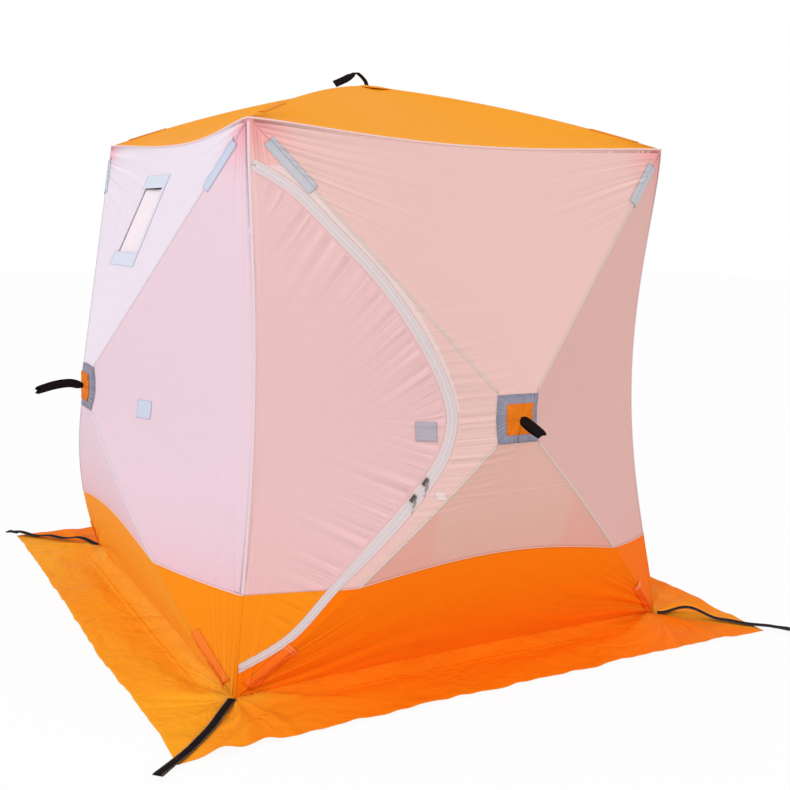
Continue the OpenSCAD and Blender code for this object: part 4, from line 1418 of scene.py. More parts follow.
@dataclass
class Roof:
    """The roof's four panels, its patch and its pole pockets."""

    shell: Shell
    strip_half: float = 0.019
    strip_shares: tuple[float, float] = (0.775, 0.93)

    def panel(self, side: Side) -> Piece:
        """Make one panel, from the hub to an eave.

        Args:
            side: the wall that it meets.

        Returns:
            The panel.
        """
        shell = replace(self.shell, seed=1.9 * side.value / 90)
        t = WallCloth.spread(101)
        v = np.linspace(shell.hub_share, 1, 48) ** 0.9
        v = mix(shell.hub_share, 1, (v - v[0]) / (v[-1] - v[0]))
        tt, vv = np.meshgrid(t, v, indexing="ij")
        points = shell.roof_at(tt, vv)
        r, a = shell.roof_corner(tt, vv)
        fan = np.sqrt(np.sin(math.pi * np.clip(a, 0, 1)))
        # Painted glow near the corners: the roof's glow colour, a deeper orange
        marks = {"glow": np.exp(-r / 0.1), "course": 20 * a + side.value,
                 "weight": 0.5 * fan * np.exp(-(r / 0.26) ** 2)}
        return Bench.sheet("roof", side.turn(points), points[..., :2], (0, 0, 1), Bench.CLOTH, marks)

    def panels(self) -> None:
        """Make the four panels."""
        roof = Bench.join("roof_cloth", [self.panel(side) for side in Side])
        Shop.dress(roof, Look.ROOF)
        Shop.fit(roof, "roof")
        Shop.cloth(roof, (1.75, 1.75), Hold.STRETCHED, ["roof_poles"])

    def patch(self) -> None:
        """Make the square over the hub."""
        half = self.shell.patch_share * self.shell.top_half
        k = np.linspace(-half, half, 21)
        x, y = np.meshgrid(k, k, indexing="ij")
        v = np.maximum(np.abs(x), np.abs(y)) / self.shell.top_half
        z = mix(self.shell.roof_z, self.shell.corner_h, self.shell.past_hub(v)) + 0.0045
        points = np.stack([x, y, z], -1)
        patch = Bench.sheet("roof_patch_cloth", points, points[..., :2], (0, 0, 1), Bench.CLOTH)
        Shop.dress(patch, Look.ROOF)
        Shop.fit(patch, "roof_patch")
        Shop.cloth(patch, (0.17, 0.17), Hold.STRETCHED, ["roof_hub"])

    def strips(self) -> None:
        """Make the pole pockets over the four ridges."""
        v = np.linspace(*self.strip_shares, 14)[:, None]
        k = np.linspace(-1, 1, 9)[None]
        t = 1 - np.abs(k) * self.strip_half / (2 * self.shell.top_half * v)
        points = self.shell.roof_at(t, v + 0 * t, 0.0022 + 0.001 * (1 - np.abs(k)))
        swap = np.stack([-points[..., 1], -points[..., 0], points[..., 2]], -1)
        points = np.where((k > 0)[..., None], swap, points)
        uv = np.stack(np.broadcast_arrays(k * self.strip_half, v), -1)
        parts = [Bench.sheet("strip", side.turn(points), uv, (0, 0, 1), Bench.CLOTH) for side in Side]
        strips = Bench.join("roof_strip_cloth", parts)
        Shop.dress(strips, Look.ROOF_STRIP)
        Shop.fit(strips, "roof_strips")
        Shop.cloth(strips, (0.16, 0.2), Hold.STRETCHED, ["roof_cloth"])

    def build(self) -> None:
        """Make the roof and tie it to the shelter."""
        self.panels()
        self.patch()
        self.strips()


@dataclass
class SkirtFlap:
    """One flap of the skirt, which lies on the ground along a wall's hem."""

    side: Side
    near: float = 0.888
    far: float = 1.225
    base: float = 0.9
    hem_rise: float = 0.034
    # Corners that are drawn in along the wall, and towards it, as end of the flap and distance
    TIPS = {Side.FRONT: ((-1, 0.035), (1, 0.05))}
    EDGES = {Side.RIGHT: ((-1, 0.05),), Side.LEFT: ((1, 0.035),)}
    # Share across the flap at which its seam lies
    SEAM = 0.305

    def __post_init__(self) -> None:
        """Set out the flap's points on the ground, by place along it and share across it."""
        across = [np.linspace(0, 0.25, 9), np.linspace(0.265, 0.355, 10), np.linspace(0.38, 1, 24)]
        along = WallCloth.spread(161, 0.3) * 2 - 1
        u, w = np.meshgrid(along, np.concatenate(across), indexing="ij")
        seed = 0.7 + 1.3 * self.side.value / 90
        ripple = np.sin(31 * u + seed + 2 * np.sin(3 * u)) + np.sin(53 * u + 3 * np.sin(5 * u + seed))
        self.ripple = 2 + (ripple + 0.6 * np.sin(97 * u + 2 * seed))
        self.inner = np.clip(1 - np.abs(u) ** 6, 0, 1)
        draw = 0.012 * (1 - u ** 2) + 0.0006 * self.inner * self.ripple
        out = mix(self.near, self.far, w) - draw * w ** 2
        x = u * out
        for end, drawn in self.EDGES.get(self.side, ()):
            out = out - drawn * w * smooth((end * u - 0.2) / 0.8)
        for end, drawn in self.TIPS.get(self.side, ()):
            x = x - end * drawn * w * smooth((end * u - 0.2) / 0.8)
        self.u, self.w, self.seed, self.x, self.out = u, w, seed, x, out
        self.corner = np.hypot(np.abs(x) - self.base, out - self.base)
        self.fan = np.arctan2(out - self.base, self.base - np.abs(x))

    def rise(self) -> Array:
        """Work out the flap's hem, waves, corner folds and seam.

        Returns:
            Its height at each point.
        """
        u, w, fan, r, seed = self.u, self.w, self.fan, self.corner, self.seed
        arch = (1 - u ** 2) ** 0.5
        z = 0.0032 + self.hem_rise * arch * np.clip(1 - w / 0.30, 0, 1)
        wave = np.sin(13 * u + 4.3 * w + seed) * np.cos(5 * w - u * 6)
        z = z + 0.0045 * self.inner * smooth((w - 0.25) / 0.3) * (1 + wave)
        fold = (1 - np.abs(np.sin(3.5 * fan + 0.8 * np.sin(3 * fan) + seed))) ** 1.4
        z = z + 0.027 * np.exp(-(r / 0.28) ** 2) * smooth(r / 0.08) * fold * self.inner ** 0.3
        z = z + 0.0035 * np.exp(-((w - self.SEAM) / 0.018) ** 2) * arch
        z = z + 0.0013 * smooth((w - 0.8) / 0.2) * self.inner * self.ripple
        if self.side is Side.FRONT:
            wavy = np.exp(-((u + 0.84) / 0.09) ** 2)
            z = z + 0.015 * wavy * w ** 1.5 * (1 + np.sin(44 * u + 9 * w + seed))
        return z

    def marks(self) -> dict[str, Array]:
        """Values that the flap's finish reads.

        Returns:
            Glow, course and weight at each point.
        """
        u, w, fan = self.u, self.w, self.fan
        # Painted light: the glow colour lightens the slope by the hem and, on all but the left flap, most the
        # end where u is -1
        strip = np.clip(1 - np.abs(w - 0.14) / 0.15, 0, 1) * (1 - u ** 2) ** 0.3
        hem = np.exp(-w / 0.12)
        if self.side is Side.LEFT:
            glow = 0.5 * (hem + strip)
        else:
            glow = np.clip(0.2 * hem + 0.8 * np.exp(-(1 + u) / 0.25) + 0.1 * strip, 0, 1)
        course = 3.4 * fan + np.sin(4 * fan + self.seed) + 3 * np.sign(u) + self.seed + 2.5 * w * u
        weight = 0.7 * np.exp(-(self.corner / 0.36) ** 2) * self.inner ** 0.2
        return {"glow": glow, "course": course, "weight": weight}

    def build(self) -> None:
        """Make the flap and tie it to the shelter."""
        word = self.side.name.lower()
        points = np.stack([self.x, -self.out, self.rise()], -1)
        placed = self.side.turn(points)
        piece = Bench.sheet(word + "_skirt_cloth", placed, points[..., :2], (0, 0, 1), 0.0016, self.marks())
        Shop.dress(piece, Look.SIDE_SKIRT if self.side is Side.LEFT else Look.SKIRT)
        Shop.fit(piece, word + "_skirt")
        Shop.cloth(piece, (2.45, 0.345), Hold.LAID, [word + "_band"])


@dataclass
class Patches:
    """Reinforcements over the hubs and ridges, tie patches, windows and the pocket."""

    walls: dict[Side, WallCloth]
    patch_half: float = 0.081
    centre_half: float = 0.052
    eave_shares: tuple[float, float] = (0.775, 0.93)
    eave_half: float = 0.0205
    foot_shares: tuple[float, float] = (0.805, 0.955)
    foot_half: float = 0.021
    side_foot_half: float = 0.028
    tie_half: float = 0.032
    tie_z: float = 0.873
    border_side: float = 0.032
    border_end: float = 0.05
    pocket_top: float = 0.66
    pocket_flare: float = 0.026
    # Distance of patches and pockets off the cloth under them
    LIFT = 0.0026

    def square(self, wall: WallCloth, half: float, lift: float, finish: ClothFinish) -> Piece:
        """A square of cloth over a wall's hub.

        Args:
            wall: its wall.
            half: half its width.
            lift: distance off the wall.
            finish: its finish.

        Returns:
            The square.
        """
        k = np.linspace(-half, half, 25)
        a, b = np.meshgrid(k, k, indexing="ij")
        r, turn = np.maximum(np.abs(a), np.abs(b)) / half, np.arctan2(a, b)
        marks = {"glow": smooth((r - 0.55) / 0.45), "course": 14 * turn + 5 * r, "weight": 0.8 * smooth(r)}
        wavy = lift + 0.001 * np.sin(9 * turn) * r ** 2
        points = wall.settle(wall.shell.at(a, wall.shell.hub_h + b, wavy))
        piece = Bench.sheet("square", points, np.stack([a, b], -1), wall.outward(), Bench.CLOTH, marks)
        Shop.dress(piece, finish)
        return piece

    def strip(self, wall: WallCloth, sign: int, end: tuple[float, float], shares: tuple[float, float],
              half: float, crown: float, finish: ClothFinish) -> Piece:
        """A pole pocket along a ridge.

        Args:
            wall: its wall.
            sign: side of the wall.
            end: half width and height of the ridge's end.
            shares: shares of the ridge that it covers.
            half: half its width.
            crown: height of its middle over its edges.
            finish: its finish.

        Returns:
            The pocket.
        """
        v = np.linspace(*shares, 24)[:, None]
        k = np.linspace(-1, 1, 9)[None]
        x, z = wall.ridge_at(sign, end, v, k * half)
        return wall.lay("strip", x, z, finish, self.LIFT + crown * (1 - k ** 2))

    def hubs(self) -> None:
        """Make the grey squares over the walls' hubs, and their orange centres."""
        walls = self.walls.values()
        grey = [self.square(wall, self.patch_half, self.LIFT, Look.GREY) for wall in walls]
        patches = Shop.fit(Bench.join("hub_patch_cloth", grey), "hub_patches")
        Shop.cloth(patches, (0.34, 0.36), Hold.STRETCHED, ["front_hub"])
        orange = [self.square(wall, self.centre_half, 0.0056, Look.CENTRE) for wall in walls]
        centres = Shop.fit(Bench.join("hub_centre_cloth", orange), "hub_centres")
        Shop.cloth(centres, (0.24, 0.24), Hold.STRETCHED, ["hub_patch_cloth"])

    def eave_strips(self) -> None:
        """Make the pole pockets under the eaves."""
        parts = []
        for wall in self.walls.values():
            finish = Look.WARM_GREY if wall.side.front_or_back else Look.PALE_GREY
            parts += [self.strip(wall, sign, wall.shell.high, self.eave_shares, self.eave_half, 0.002, finish)
                      for sign in (1, -1)]
        strips = Shop.fit(Bench.join("eave_strip_cloth", parts), "eave_strips")
        Shop.cloth(strips, (0.36, 0.22), Hold.STRETCHED, ["roof_poles"])

    def foot_strips(self) -> None:
        """Make the pole pockets over the feet."""
        parts = []
        for wall in self.walls.values():
            half, finish = self.side_foot_half, Look.SIDE_STRIP
            if wall.side.front_or_back:
                half, finish = self.foot_half, Look.FOOT_STRIP
            parts += [self.strip(wall, sign, wall.shell.low, self.foot_shares, half, 0.001, finish)
                      for sign in (1, -1)]
        strips = Shop.fit(Bench.join("foot_strip_cloth", parts), "foot_strips")
        Shop.cloth(strips, (0.48, 0.23), Hold.STRETCHED, ["front_band"])

    def ties(self) -> None:
        """Make the small patches for the door's ties."""
        k = np.linspace(-self.tie_half, self.tie_half, 13)
        for word, side, x, finish, body, rests_on in (
                ("door", Side.FRONT, -0.2907, Look.TIE, "door", "door_flap_cloth"),
                ("wall", Side.LEFT, 0.3267, Look.PALE_GREY, "shelter", "left_wall_cloth")):
            places = np.meshgrid(x + k, self.tie_z + k, indexing="ij")
            patch = self.walls[side].lay(word + "_tie_cloth", *places, finish, 0.0028)
            Shop.fit(patch, word + "_tie_patch", body=body)
            Shop.cloth(patch, (0.072, 0.072), Hold.STRETCHED, [rests_on])

    def window(self, wall: WallCloth) -> None:
        """Make the border and the pane of a window.

        Args:
            wall: the window's wall.
        """
        x0, z0, x1, z1 = wall.window
        left, right = x0 - self.border_side, x1 + self.border_side
        parts = []
        for a, b, c, d, finish in ((left, z1, right, z1 + self.border_end, Look.BORDER),
                                   (left, z0 - self.border_end, right, z0, Look.BORDER),
                                   (left, z0, x0, z1, Look.SIDE_TOP),
                                   (x1, z0, right, z1, Look.FAINT)):
            x, z = np.meshgrid(np.linspace(a, c, 16), np.linspace(b, d, 16), indexing="ij")
            parts.append(wall.lay("border", x, z, finish, self.LIFT))
        border = Shop.fit(Bench.join(wall.word + "_window_binding", parts), wall.word + "_window_border")
        Shop.cloth(border, (0.27, 0.36), Hold.STRETCHED, [wall.word + "_wall_cloth"])
        x, z = np.meshgrid(np.linspace(x0 - 0.006, x1 + 0.024, 24),
                           np.linspace(z0 - 0.024, z1 - 0.004, 24), indexing="ij")
        slack = np.sin(math.pi * np.clip((x - x0) / (x1 - x0), 0, 1))
        pane = wall.lay(wall.word + "_window_flap", x, z, Look.PANE, -0.003 - 0.006 * slack, 0.0008)
        Shop.fit(pane, wall.word + "_window_pane")
        Shop.cloth(pane, (0.25, 0.28), Hold.HUNG, [wall.word + "_wall_cloth"])

    def pocket(self, wall: WallCloth) -> None:
        """Make the flat pocket behind the front wall's foot panel.

        Args:
            wall: the front wall.
        """
        shell = wall.shell
        s, k = np.linspace(-1, 1, 40)[:, None], np.linspace(0, 1, 24)[None]
        half = shell.base_half * 0.256 / (shell.hub_h - shell.hem_z) - self.pocket_flare
        low = s * (half + self.pocket_flare)
        x, z = mix(s * half, low, k), mix(self.pocket_top, shell.band_z(low) + 0.008, k)
        piece = wall.lay("pocket_cloth", x, z, Look.FRONT_FOOT, -0.003, 0.001)
        Shop.fit(piece, "inner_pocket")
        Shop.cloth(piece, (0.5, 0.25), Hold.HUNG, ["front_wall_cloth"])

    def build(self) -> None:
        """Make every patch and tie it to its body."""
        self.hubs()
        self.eave_strips()
        self.foot_strips()
        self.ties()
        self.window(self.walls[Side.LEFT])
        self.window(self.walls[Side.RIGHT])
        self.pocket(self.walls[Side.FRONT])


@dataclass
class Trim:
    """Bindings, piping and threads along the seams of the shelter."""

    walls: dict[Side, WallCloth]
    zip: ZipLine

    @staticmethod
    def pipe(name: str, lines: Sequence[Array], radius: float, finish: ClothFinish, sides: int = 8) -> None:
        """Lay piping along lines and tie it to the shelter."""
        piece = Bench.tube(name, lines, radius, sides)
        Shop.dress(piece, finish)
        Shop.fit(piece)

    def binding(self, name: str, low: float, high: float, half: float, finish: ClothFinish) -> None:
        """Flat bindings over the four corner seams.

        Args:
            name: the piece's name.
            low: share of the seam at which they start.
            high: share at which they end.
            half: half their width.
            finish: their finish.
        """
        shell = self.walls[Side.FRONT].shell
        t = np.linspace(low, high, 120)
        c, z = shell.corner_half(t), shell.seam_z(t)
        near = [shell.at(c - d * half, z, 0.001) for d in (1, 0.46)]
        mid = shell.seam(t) + np.array([0.0012, -0.0012, 0])
        far = [Side.RIGHT.turn(shell.at(d * half - c, z, 0.001)) for d in (0.46, 1)]
        points = np.stack([*near, mid, *far], 1)
        uv = np.stack(np.broadcast_arrays(np.linspace(-half, half, 5)[None], z[:, None]), -1)
        parts = [Bench.sheet(name, side.turn(points), uv, side.turn(np.array([1.0, -1.0, 0.0])), 0.0008)
                 for side in Side]
        piece = Bench.join(name, parts)
        Shop.dress(piece, finish)
        Shop.fit(piece)

    def eaves(self) -> None:
        """Lay piping along the eaves."""
        line = self.walls[Side.FRONT].shell.eave(np.linspace(0, 1, 160)) + (0, -0.001, 0.001)
        self.pipe("eave_piping", [side.turn(line) for side in Side], 0.0034, Look.PIPING)

    def hem(self) -> None:
        """Lay the seam between the walls and the skirt."""
        shell = self.walls[Side.FRONT].shell
        x = np.linspace(-0.893, 0.893, 120)
        z = 0.0345 * (1 - (x / shell.base_half) ** 2) ** 0.5 + 0.0045
        line = np.stack([x, np.full_like(x, -0.8985), z], -1)
        self.pipe("hem_seam", [side.turn(line) for side in Side], 0.0021, Look.HEM)

    def pocket(self) -> None:
        """Lay the pocket's row of stitches, with a tab at its left end."""
        wall = self.walls[Side.FRONT]
        x = np.linspace(-0.25, 0.25, 60)
        line = wall.shell.at(x, 0.667 - 0.004 * np.cos(5 * x), 0.0014)
        self.pipe("pocket_stitching", [line], 0.0011, Look.STITCH)
        x, z = np.meshgrid(np.linspace(-0.284, -0.256, 9), np.linspace(0.658, 0.682, 9), indexing="ij")
        Shop.fit(wall.lay("pocket_tab", x, z, Look.TAB, 0.0016, 0.0008))

    def bands(self) -> None:
        """Lay piping over the lower bands, on the front wall from the zip."""
        front = self.walls[Side.FRONT]
        half = float(front.shell.corner_half(front.shell.band_t))
        start = float(self.zip.line(np.array(self.zip.band))[0]) + 0.02
        lines = [wall.band_piping(-half, half) for wall in self.walls.values() if wall is not front]
        self.pipe("band_piping", lines, 0.0023, Look.PIPING)
        self.pipe("front_band_piping", [front.band_piping(start, half)], 0.0023, Look.FRONT_PIPING)

    def strip_threads(self) -> None:
        """Lay two rows of thread across the upper end of each foot strip on the front and back walls."""
        lines = []
        k = np.linspace(-0.019, 0.019, 16)
        for wall in (self.walls[Side.FRONT], self.walls[Side.BACK]):
            for sign in (1, -1):
                for v in (0.812, 0.820):
                    x, z = wall.ridge_at(sign, wall.shell.low, v, k)
                    lines.append(wall.settle(wall.shell.at(x, z, 0.0052, wall.folds)))
        self.pipe("strip_threads", lines, 0.0009, Look.THREAD, 6)

    def build(self) -> None:
        """Make the trim and tie it on."""
        band = self.walls[Side.FRONT].shell.band_t
        self.eaves()
        self.binding("corner_binding", band, 0.995, 0.0034, Look.SEAM)
        self.binding("corner_band_binding", 0.004, band, 0.0026, Look.SIDE_BAND)
        self.hem()
        self.pocket()
        self.bands()
        self.strip_threads()


@dataclass
class Straps:
    """Webbing: pull straps on the walls, the roof's strap and the corner straps."""

    shell: Shell
    width: float = 0.03
    thick: float = 0.0018
    corner_start: float = 1.288
    corner_end: float = 1.79
    # A pull strap's way out from the hub, its fall at the front and at the sides, and half its loop's opening
    OUT = (0, 0.014, 0.05, 0.1, 0.15, 0.164)
    FRONT_FALL = (0, -0.002, -0.009, -0.019, -0.029, -0.032)
    SIDE_FALL = (0, 0.004, 0.013, 0.009, -0.0035, -0.008)
    OPENING = (0.003, 0.005, 0.012, 0.014, 0.009, 0)
    # Share of that way and of that opening, at the front and at the sides
    FRONT_SHARES, SIDE_SHARES = (0.72, 0.35), (1.0, 0.14)
    # The roof's strap: way aside and height over the hub
    TOP = ((0, 0.005), (-0.012, 0.03), (-0.05, 0.056), (-0.075, 0.042), (-0.1, 0.026), (-0.148, 0.003))
    # Corner straps: bearing in degrees, bow, drift of the end, and height of the humps near and all along
    CORNERS = ((225, 0.022, 0.009, 0.003, 0.002), (315, 0.004, -0.014, 0.034, 0.004),
               (45, -0.006, 0.008, 0.012, 0.006), (135, -0.006, -0.014, 0.012, 0.010))
    # Folded end of a corner strap: way out from the middle and height
    FOLD = ((1.79, 0.012), (1.797, 0.015), (1.79, 0.018), (1.76, 0.017), (1.73, 0.016))

    @staticmethod
    def curve(knots: Sequence[Sequence[float]], count: int) -> Array:
        """Points of a smooth line through knots."""
        return curve_through(np.array(knots, float), np.linspace(0, len(knots) - 1, count))

    def finish(self, name: str, parts: Sequence[Piece], node: str, flat: tuple[float, float],
               rests_on: Sequence[str], look: HardFinish = Look.PLAIN_WEBBING) -> None:
        """Join, dress and tie on webbing.

        Args:
            name: the piece's name.
            parts: its lengths.
            node: the CAD node that it stands for.
            flat: width and length of the webbing it is cut from.
            rests_on: what carries it.
            look: its finish.
        """
        piece = Bench.join(name, parts)
        Shop.dress(piece, look)
        Shop.fit(piece, node)
        Shop.cloth(piece, flat, Hold.HUNG, rests_on)

    def pulls(self) -> None:
        """Make the straps that pull the walls' hubs out, each doubled to a loop."""
        parts = []
        start = self.shell.flat_y - 0.006
        k = np.linspace(0, 1, 110)
        width = self.width * mix(0.4, 1.0, smooth((0.5 - np.abs(k - 0.5)) / 0.15))
        for side in Side:
            reach, part, fall, turn = *self.SIDE_SHARES, self.SIDE_FALL, np.full_like(k, 1.25)
            if side is Side.FRONT:
                reach, part, fall = *self.FRONT_SHARES, self.FRONT_FALL
                turn = mix(1.1, 0.45, 1 - np.abs(2 * k - 1))
            out = list(zip(self.OUT, fall, self.OPENING))
            path = [(0.0, start - a * reach, self.shell.hub_h + b + c * part)
                    for a, b, c in out + [(a, b, -c) for a, b, c in out[-2::-1]]]
            line = self.curve(path, len(k))
            across = np.stack([np.cos(turn), np.zeros_like(k), np.sin(turn)], -1)
            parts.append(Bench.ribbon("pull", side.turn(line), side.turn(across), width, self.thick))
        self.finish("pull_strap_webbing", parts, "pull_straps", (0.13, 0.4), ["hub_centre_cloth"])

    def top(self) -> None:
        """Make the strap that pulls the roof's hub up."""
        line = self.curve([(a, 0.0, self.shell.roof_z + b) for a, b in self.TOP], 60)
        k = np.linspace(0, 1, len(line))
        turn = 1.1 * smooth((k - 0.35) / 0.4)
        across = np.stack([np.zeros_like(k), np.cos(turn), np.sin(turn)], -1)
        strap = Bench.ribbon("top", line, across, self.width, self.thick)
        self.finish("roof_strap_webbing", [strap], "roof_strap", (0.032, 0.2), ["roof_patch_cloth"])

    def corners(self) -> None:
        """Make the straps on the skirt's corners, each with an end folded back as a peg loop."""
        parts = []
        for bearing, bow, drift, near, along in self.CORNERS:
            a = math.radians(bearing)
            way, wide = np.array([math.cos(a), math.sin(a), 0]), np.array([-math.sin(a), math.cos(a), 0])
            k = np.linspace(0, 1, 90)
            out = mix(self.corner_start, self.corner_end, k)
            humps = near * np.sin(math.pi * np.clip(k / 0.5, 0, 1)) ** 2 + along * np.sin(9 * k) ** 2
            fold = self.curve(self.FOLD, 30)
            raised = fold[:, 1] + along * np.sin(9) ** 2
            for name, rho, z in (("corner", out, 0.012 + humps), ("loop", fold[:, 0], raised)):
                k = ((rho - self.corner_start) / (self.corner_end - self.corner_start))[:, None]
                line = rho[:, None] * way + (bow * np.sin(math.pi * k) + drift * k ** 2) * wide
                line[:, 2] = z
                across = np.broadcast_to(wide, line.shape)
                parts.append(Bench.ribbon(name, line, across, self.width, self.thick))
        rests_on = ["front_skirt_cloth"]
        self.finish("corner_strap_webbing", parts, "corner_straps", (0.13, 0.6), rests_on, Look.WEBBING)

    def build(self) -> None:
        """Make all the webbing."""
        self.pulls()
        self.top()
        self.corners()


@dataclass
class Sliders:
    """The zip's two sliders with their ring pulls."""

    wall: WallCloth
    zip: ZipLine
    shares: tuple[float, float] = (0.662, 0.692)
    # Size, lift and bevel of a slider's body and bridge
    BODY = (((0.020, 0.028, 0.004), 0.0, 0.0016), ((0.008, 0.022, 0.006), 0.0048, 0.002))
    # Drop, radius and half thickness of a pull's two rings
    RINGS = ((0.005, 0.0046, 0.0016), (0.041, 0.0092, 0.0026))
    # Size, drop and bevel of a pull's tab
    TAB = ((0.0112, 0.0026, 0.027), 0.021, 0.0009)

    @staticmethod
    def block(size: Sequence[float], middle: Sequence[float], bevel: float, segments: int,
              finish: HardFinish) -> Piece:
        """Make a block with rounded edges.

        Args:
            size: its three widths.
            middle: its middle.
            bevel: width of the rounding.
            segments: steps of the rounding.
            finish: its finish.

        Returns:
            The block.
        """
        Bench.clear()
        bpy.ops.mesh.primitive_cube_add(size=1)
        block = bpy.context.object
        block.data.transform(Matrix.Translation(middle) @ Matrix.Diagonal((*size, 1)))
        Bench.apply(block, "BEVEL", width=bevel, segments=segments)
        Shop.dress(block, finish)
        return block

    @staticmethod
    def ring(middle: Vector, radius: float, half: float) -> Piece:
        """Make an upright ring.

        Args:
            middle: its middle.
            radius: radius of its middle line.
            half: half its thickness.

        Returns:
            The ring.
        """
        Bench.clear()
        bpy.ops.mesh.primitive_torus_add(major_radius=radius, minor_radius=half,
                                         major_segments=24, minor_segments=8)
        ring = bpy.context.object
        ring.data.transform(Matrix.Translation(middle) @ Matrix.Rotation(math.pi / 2, 4, "X"))
        Shop.dress(ring, Look.PULL)
        return ring

    def one(self, s: float) -> list[Piece]:
        """Make one slider.

        Args:
            s: its share of the zip.

        Returns:
            Its body, its bridge, and the rings and tab of its pull.
        """
        place = self.zip.offset(np.array([s - 0.002, s, s + 0.002]), np.full(3, -0.007))
        p = self.wall.shell.at(place[:, 0], place[:, 1], 0.006, self.wall.folds)
        along, ahead = Vector(p[2] - p[0]).normalized(), Vector((0, -1, 0))
        out = (ahead - along * along.dot(ahead)).normalized()
        spot = Matrix((along.cross(out), along, out)).transposed().to_4x4()
        spot.translation = Vector(p[1])
        parts = [self.block(size, (0, 0, lift), bevel, 3, Look.METAL) for size, lift, bevel in self.BODY]
        for part in parts:
            part.data.transform(spot)
        hang = Vector(p[1]) + Vector((0, -0.007, -0.006))
        parts += [self.ring(hang - Vector((0, 0, drop)), radius, half) for drop, radius, half in self.RINGS]
        size, drop, bevel = self.TAB
        return parts + [self.block(size, hang - Vector((0, 0, drop)), bevel, 2, Look.PULL)]

    def build(self) -> None:
        """Make both sliders and tie them to the door."""
        piece = Bench.join("zip_slider_pair", [part for s in self.shares for part in self.one(s)])
        Bench.pick(piece)
        bpy.ops.object.shade_smooth_by_angle(angle=math.radians(40))
        Shop.fit(piece, "zip_sliders", body="door")


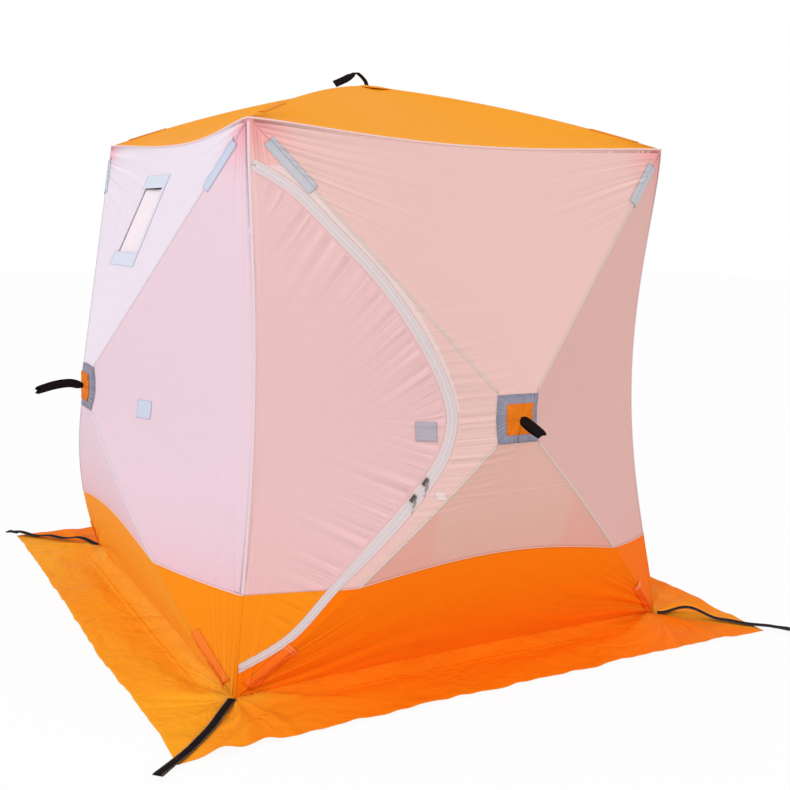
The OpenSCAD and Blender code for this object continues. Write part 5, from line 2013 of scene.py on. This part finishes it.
@dataclass
class Studio:
    """Floor, soft light and camera."""

    focal_px: float = 1046.47
    image_px: float = 790.0
    sensor_mm: float = 36.0
    floor_tone: float = 0.96
    floor_white: float = 0.93
    ambient: float = 0.83
    eye: tuple[float, float, float] = (-2.0254, -3.9333, 1.5344)
    forward: tuple[float, float, float] = (0.48103, 0.86217, -0.15898)
    down: tuple[float, float, float] = (-0.05365, -0.15205, -0.98692)

    def camera(self) -> None:
        """Place the camera at the photograph's view."""
        data = bpy.data.cameras.new("camera")
        data.sensor_width = self.sensor_mm
        data.lens = self.focal_px / self.image_px * self.sensor_mm
        camera = bpy.data.objects.new("camera", data)
        bpy.context.scene.collection.objects.link(camera)
        back, up = -Vector(self.forward).normalized(), -Vector(self.down).normalized()
        side = up.cross(back).normalized()
        up = back.cross(side)
        turn = Matrix((side, up, back)).transposed().to_4x4()
        turn.translation = Vector(self.eye)
        camera.matrix_world = turn
        bpy.context.scene.camera = camera

    def floor(self) -> None:
        """Lay a plain pale floor."""
        Bench.clear()
        bpy.ops.mesh.primitive_plane_add(size=60, location=(0, 0, -0.0005))
        floor = bpy.context.object
        floor.name = "floor"
        material, nodes, shader = Nodes.material("pale_floor")
        shader.inputs["Base Color"].default_value = (self.floor_tone, self.floor_tone, self.floor_tone, 1)
        shader.inputs["Roughness"].default_value = 0.9
        shader.inputs["Specular IOR Level"].default_value = 0.0
        rays = nodes.add("ShaderNodeLightPath")
        seen = nodes.math("MAXIMUM", rays.outputs["Is Camera Ray"], rays.outputs["Is Glossy Ray"])
        white = nodes.add("ShaderNodeEmission", {"Color": (1, 1, 1, 1), "Strength": 1.0})
        share = nodes.math("MULTIPLY", seen, self.floor_white)
        both = nodes.add("ShaderNodeMixShader", {0: share, 1: shader.outputs[0], 2: white.outputs[0]})
        nodes.put(material.node_tree.nodes["Material Output"].inputs[0], both.outputs[0])
        floor.data.materials.append(material)

    @staticmethod
    def lamp(name: str, place: Sequence[float], aim: Sequence[float], size: float, power: float) -> None:
        """Hang a square lamp.

        Args:
            name: its name.
            place: where it hangs.
            aim: the point that it is turned to.
            size: its width.
            power: its power in watts.
        """
        data = bpy.data.lights.new(name, "AREA")
        data.size = size
        data.energy = power
        lamp = bpy.data.objects.new(name, data)
        bpy.context.scene.collection.objects.link(lamp)
        lamp.location = place
        lamp.rotation_euler = (Vector(aim) - Vector(place)).to_track_quat("-Z", "Y").to_euler()

    def world(self) -> None:
        """Set soft light all round, on a white background."""
        world = bpy.data.worlds.new("studio")
        bpy.context.scene.world = world
        world.use_nodes = True
        nodes = Nodes(world.node_tree)
        rays = nodes.add("ShaderNodeLightPath")
        through = nodes.math("MAXIMUM", rays.outputs["Is Glossy Ray"], rays.outputs["Is Transmission Ray"])
        seen = nodes.math("MAXIMUM", rays.outputs["Is Camera Ray"], through)
        ambient = nodes.add("ShaderNodeBackground", {"Color": (1, 1, 1, 1), "Strength": self.ambient})
        white = nodes.add("ShaderNodeBackground", {"Color": (1, 1, 1, 1), "Strength": 1.0})
        both = nodes.add("ShaderNodeMixShader", {0: seen, 1: ambient.outputs[0], 2: white.outputs[0]})
        nodes.put(world.node_tree.nodes["World Output"].inputs[0], both.outputs[0])

    def build(self) -> None:
        """Set the scene."""
        bpy.context.scene.view_settings.view_transform = "Standard"
        self.world()
        self.floor()
        self.camera()
        self.lamp("key", (-6.0, -4.2, 4.6), (0, 0, 0.9), 3.0, 110.0)
        self.lamp("fill", (4.5, -4.0, 3.5), (0, 0, 0.9), 4.0, 24.0)


# Middle and half sizes of a side wall's window, across the wall and up
WINDOW_MIDDLE = (-0.112, 1.532)
WINDOW_HALF = (0.1, 0.123)


def make_walls(shell: Shell, line: ZipLine) -> dict[Side, WallCloth]:
    """Set out the four walls.

    Args:
        shell: the walls' form.
        line: the zip in the front wall.

    Returns:
        The walls by side, in the order in which they are built.
    """
    (x, z), (half_x, half_z) = WINDOW_MIDDLE, WINDOW_HALF
    opening = (x - half_x, z - half_z, x + half_x, z + half_z)
    face = (Look.FRONT_TOP, Look.FRONT_SIDE, Look.FRONT_FOOT, Look.BAND, Look.RIDGE)
    flank = (Look.SIDE_TOP, Look.SIDE_SIDE, Look.SIDE_SIDE, Look.SIDE_BAND, Look.SIDE_RIDGE)
    walls = [WallCloth(Side.FRONT, shell, *face, open_left=True, folds=line.pucker, drawn=line.drawn),
             WallCloth(Side.LEFT, replace(shell, seed=1.1), *flank, window=opening),
             WallCloth(Side.BACK, replace(shell, seed=2.3), *face),
             WallCloth(Side.RIGHT, replace(shell, seed=3.4), *flank, mirror=True, window=opening)]
    return {wall.side: wall for wall in walls}


def dress_frame() -> None:
    """Give the frame's own poles and hubs their finishes."""
    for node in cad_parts.values():
        if node.name.endswith("_poles"):
            Shop.dress(node, Look.POLE)
        elif node.name.endswith("_hub"):
            Shop.dress(node, Look.HUB)


def main() -> None:
    """Build the shelter's pieces in order and report each one."""
    logging.basicConfig(level=logging.INFO, format="%(message)s")
    Effects.make()
    Studio().build()
    shell = Shell()
    line = ZipLine(shell)
    walls = make_walls(shell, line)
    for wall in walls.values():
        wall.build()
    Doorway(walls[Side.FRONT], line).build()
    Roof(shell).build()
    for side in Side:
        SkirtFlap(side).build()
    Patches(walls).build()
    Trim(walls, line).build()
    Straps(shell).build()
    Sliders(walls[Side.FRONT], line).build()
    dress_frame()


if __name__ == "__main__":
    main()
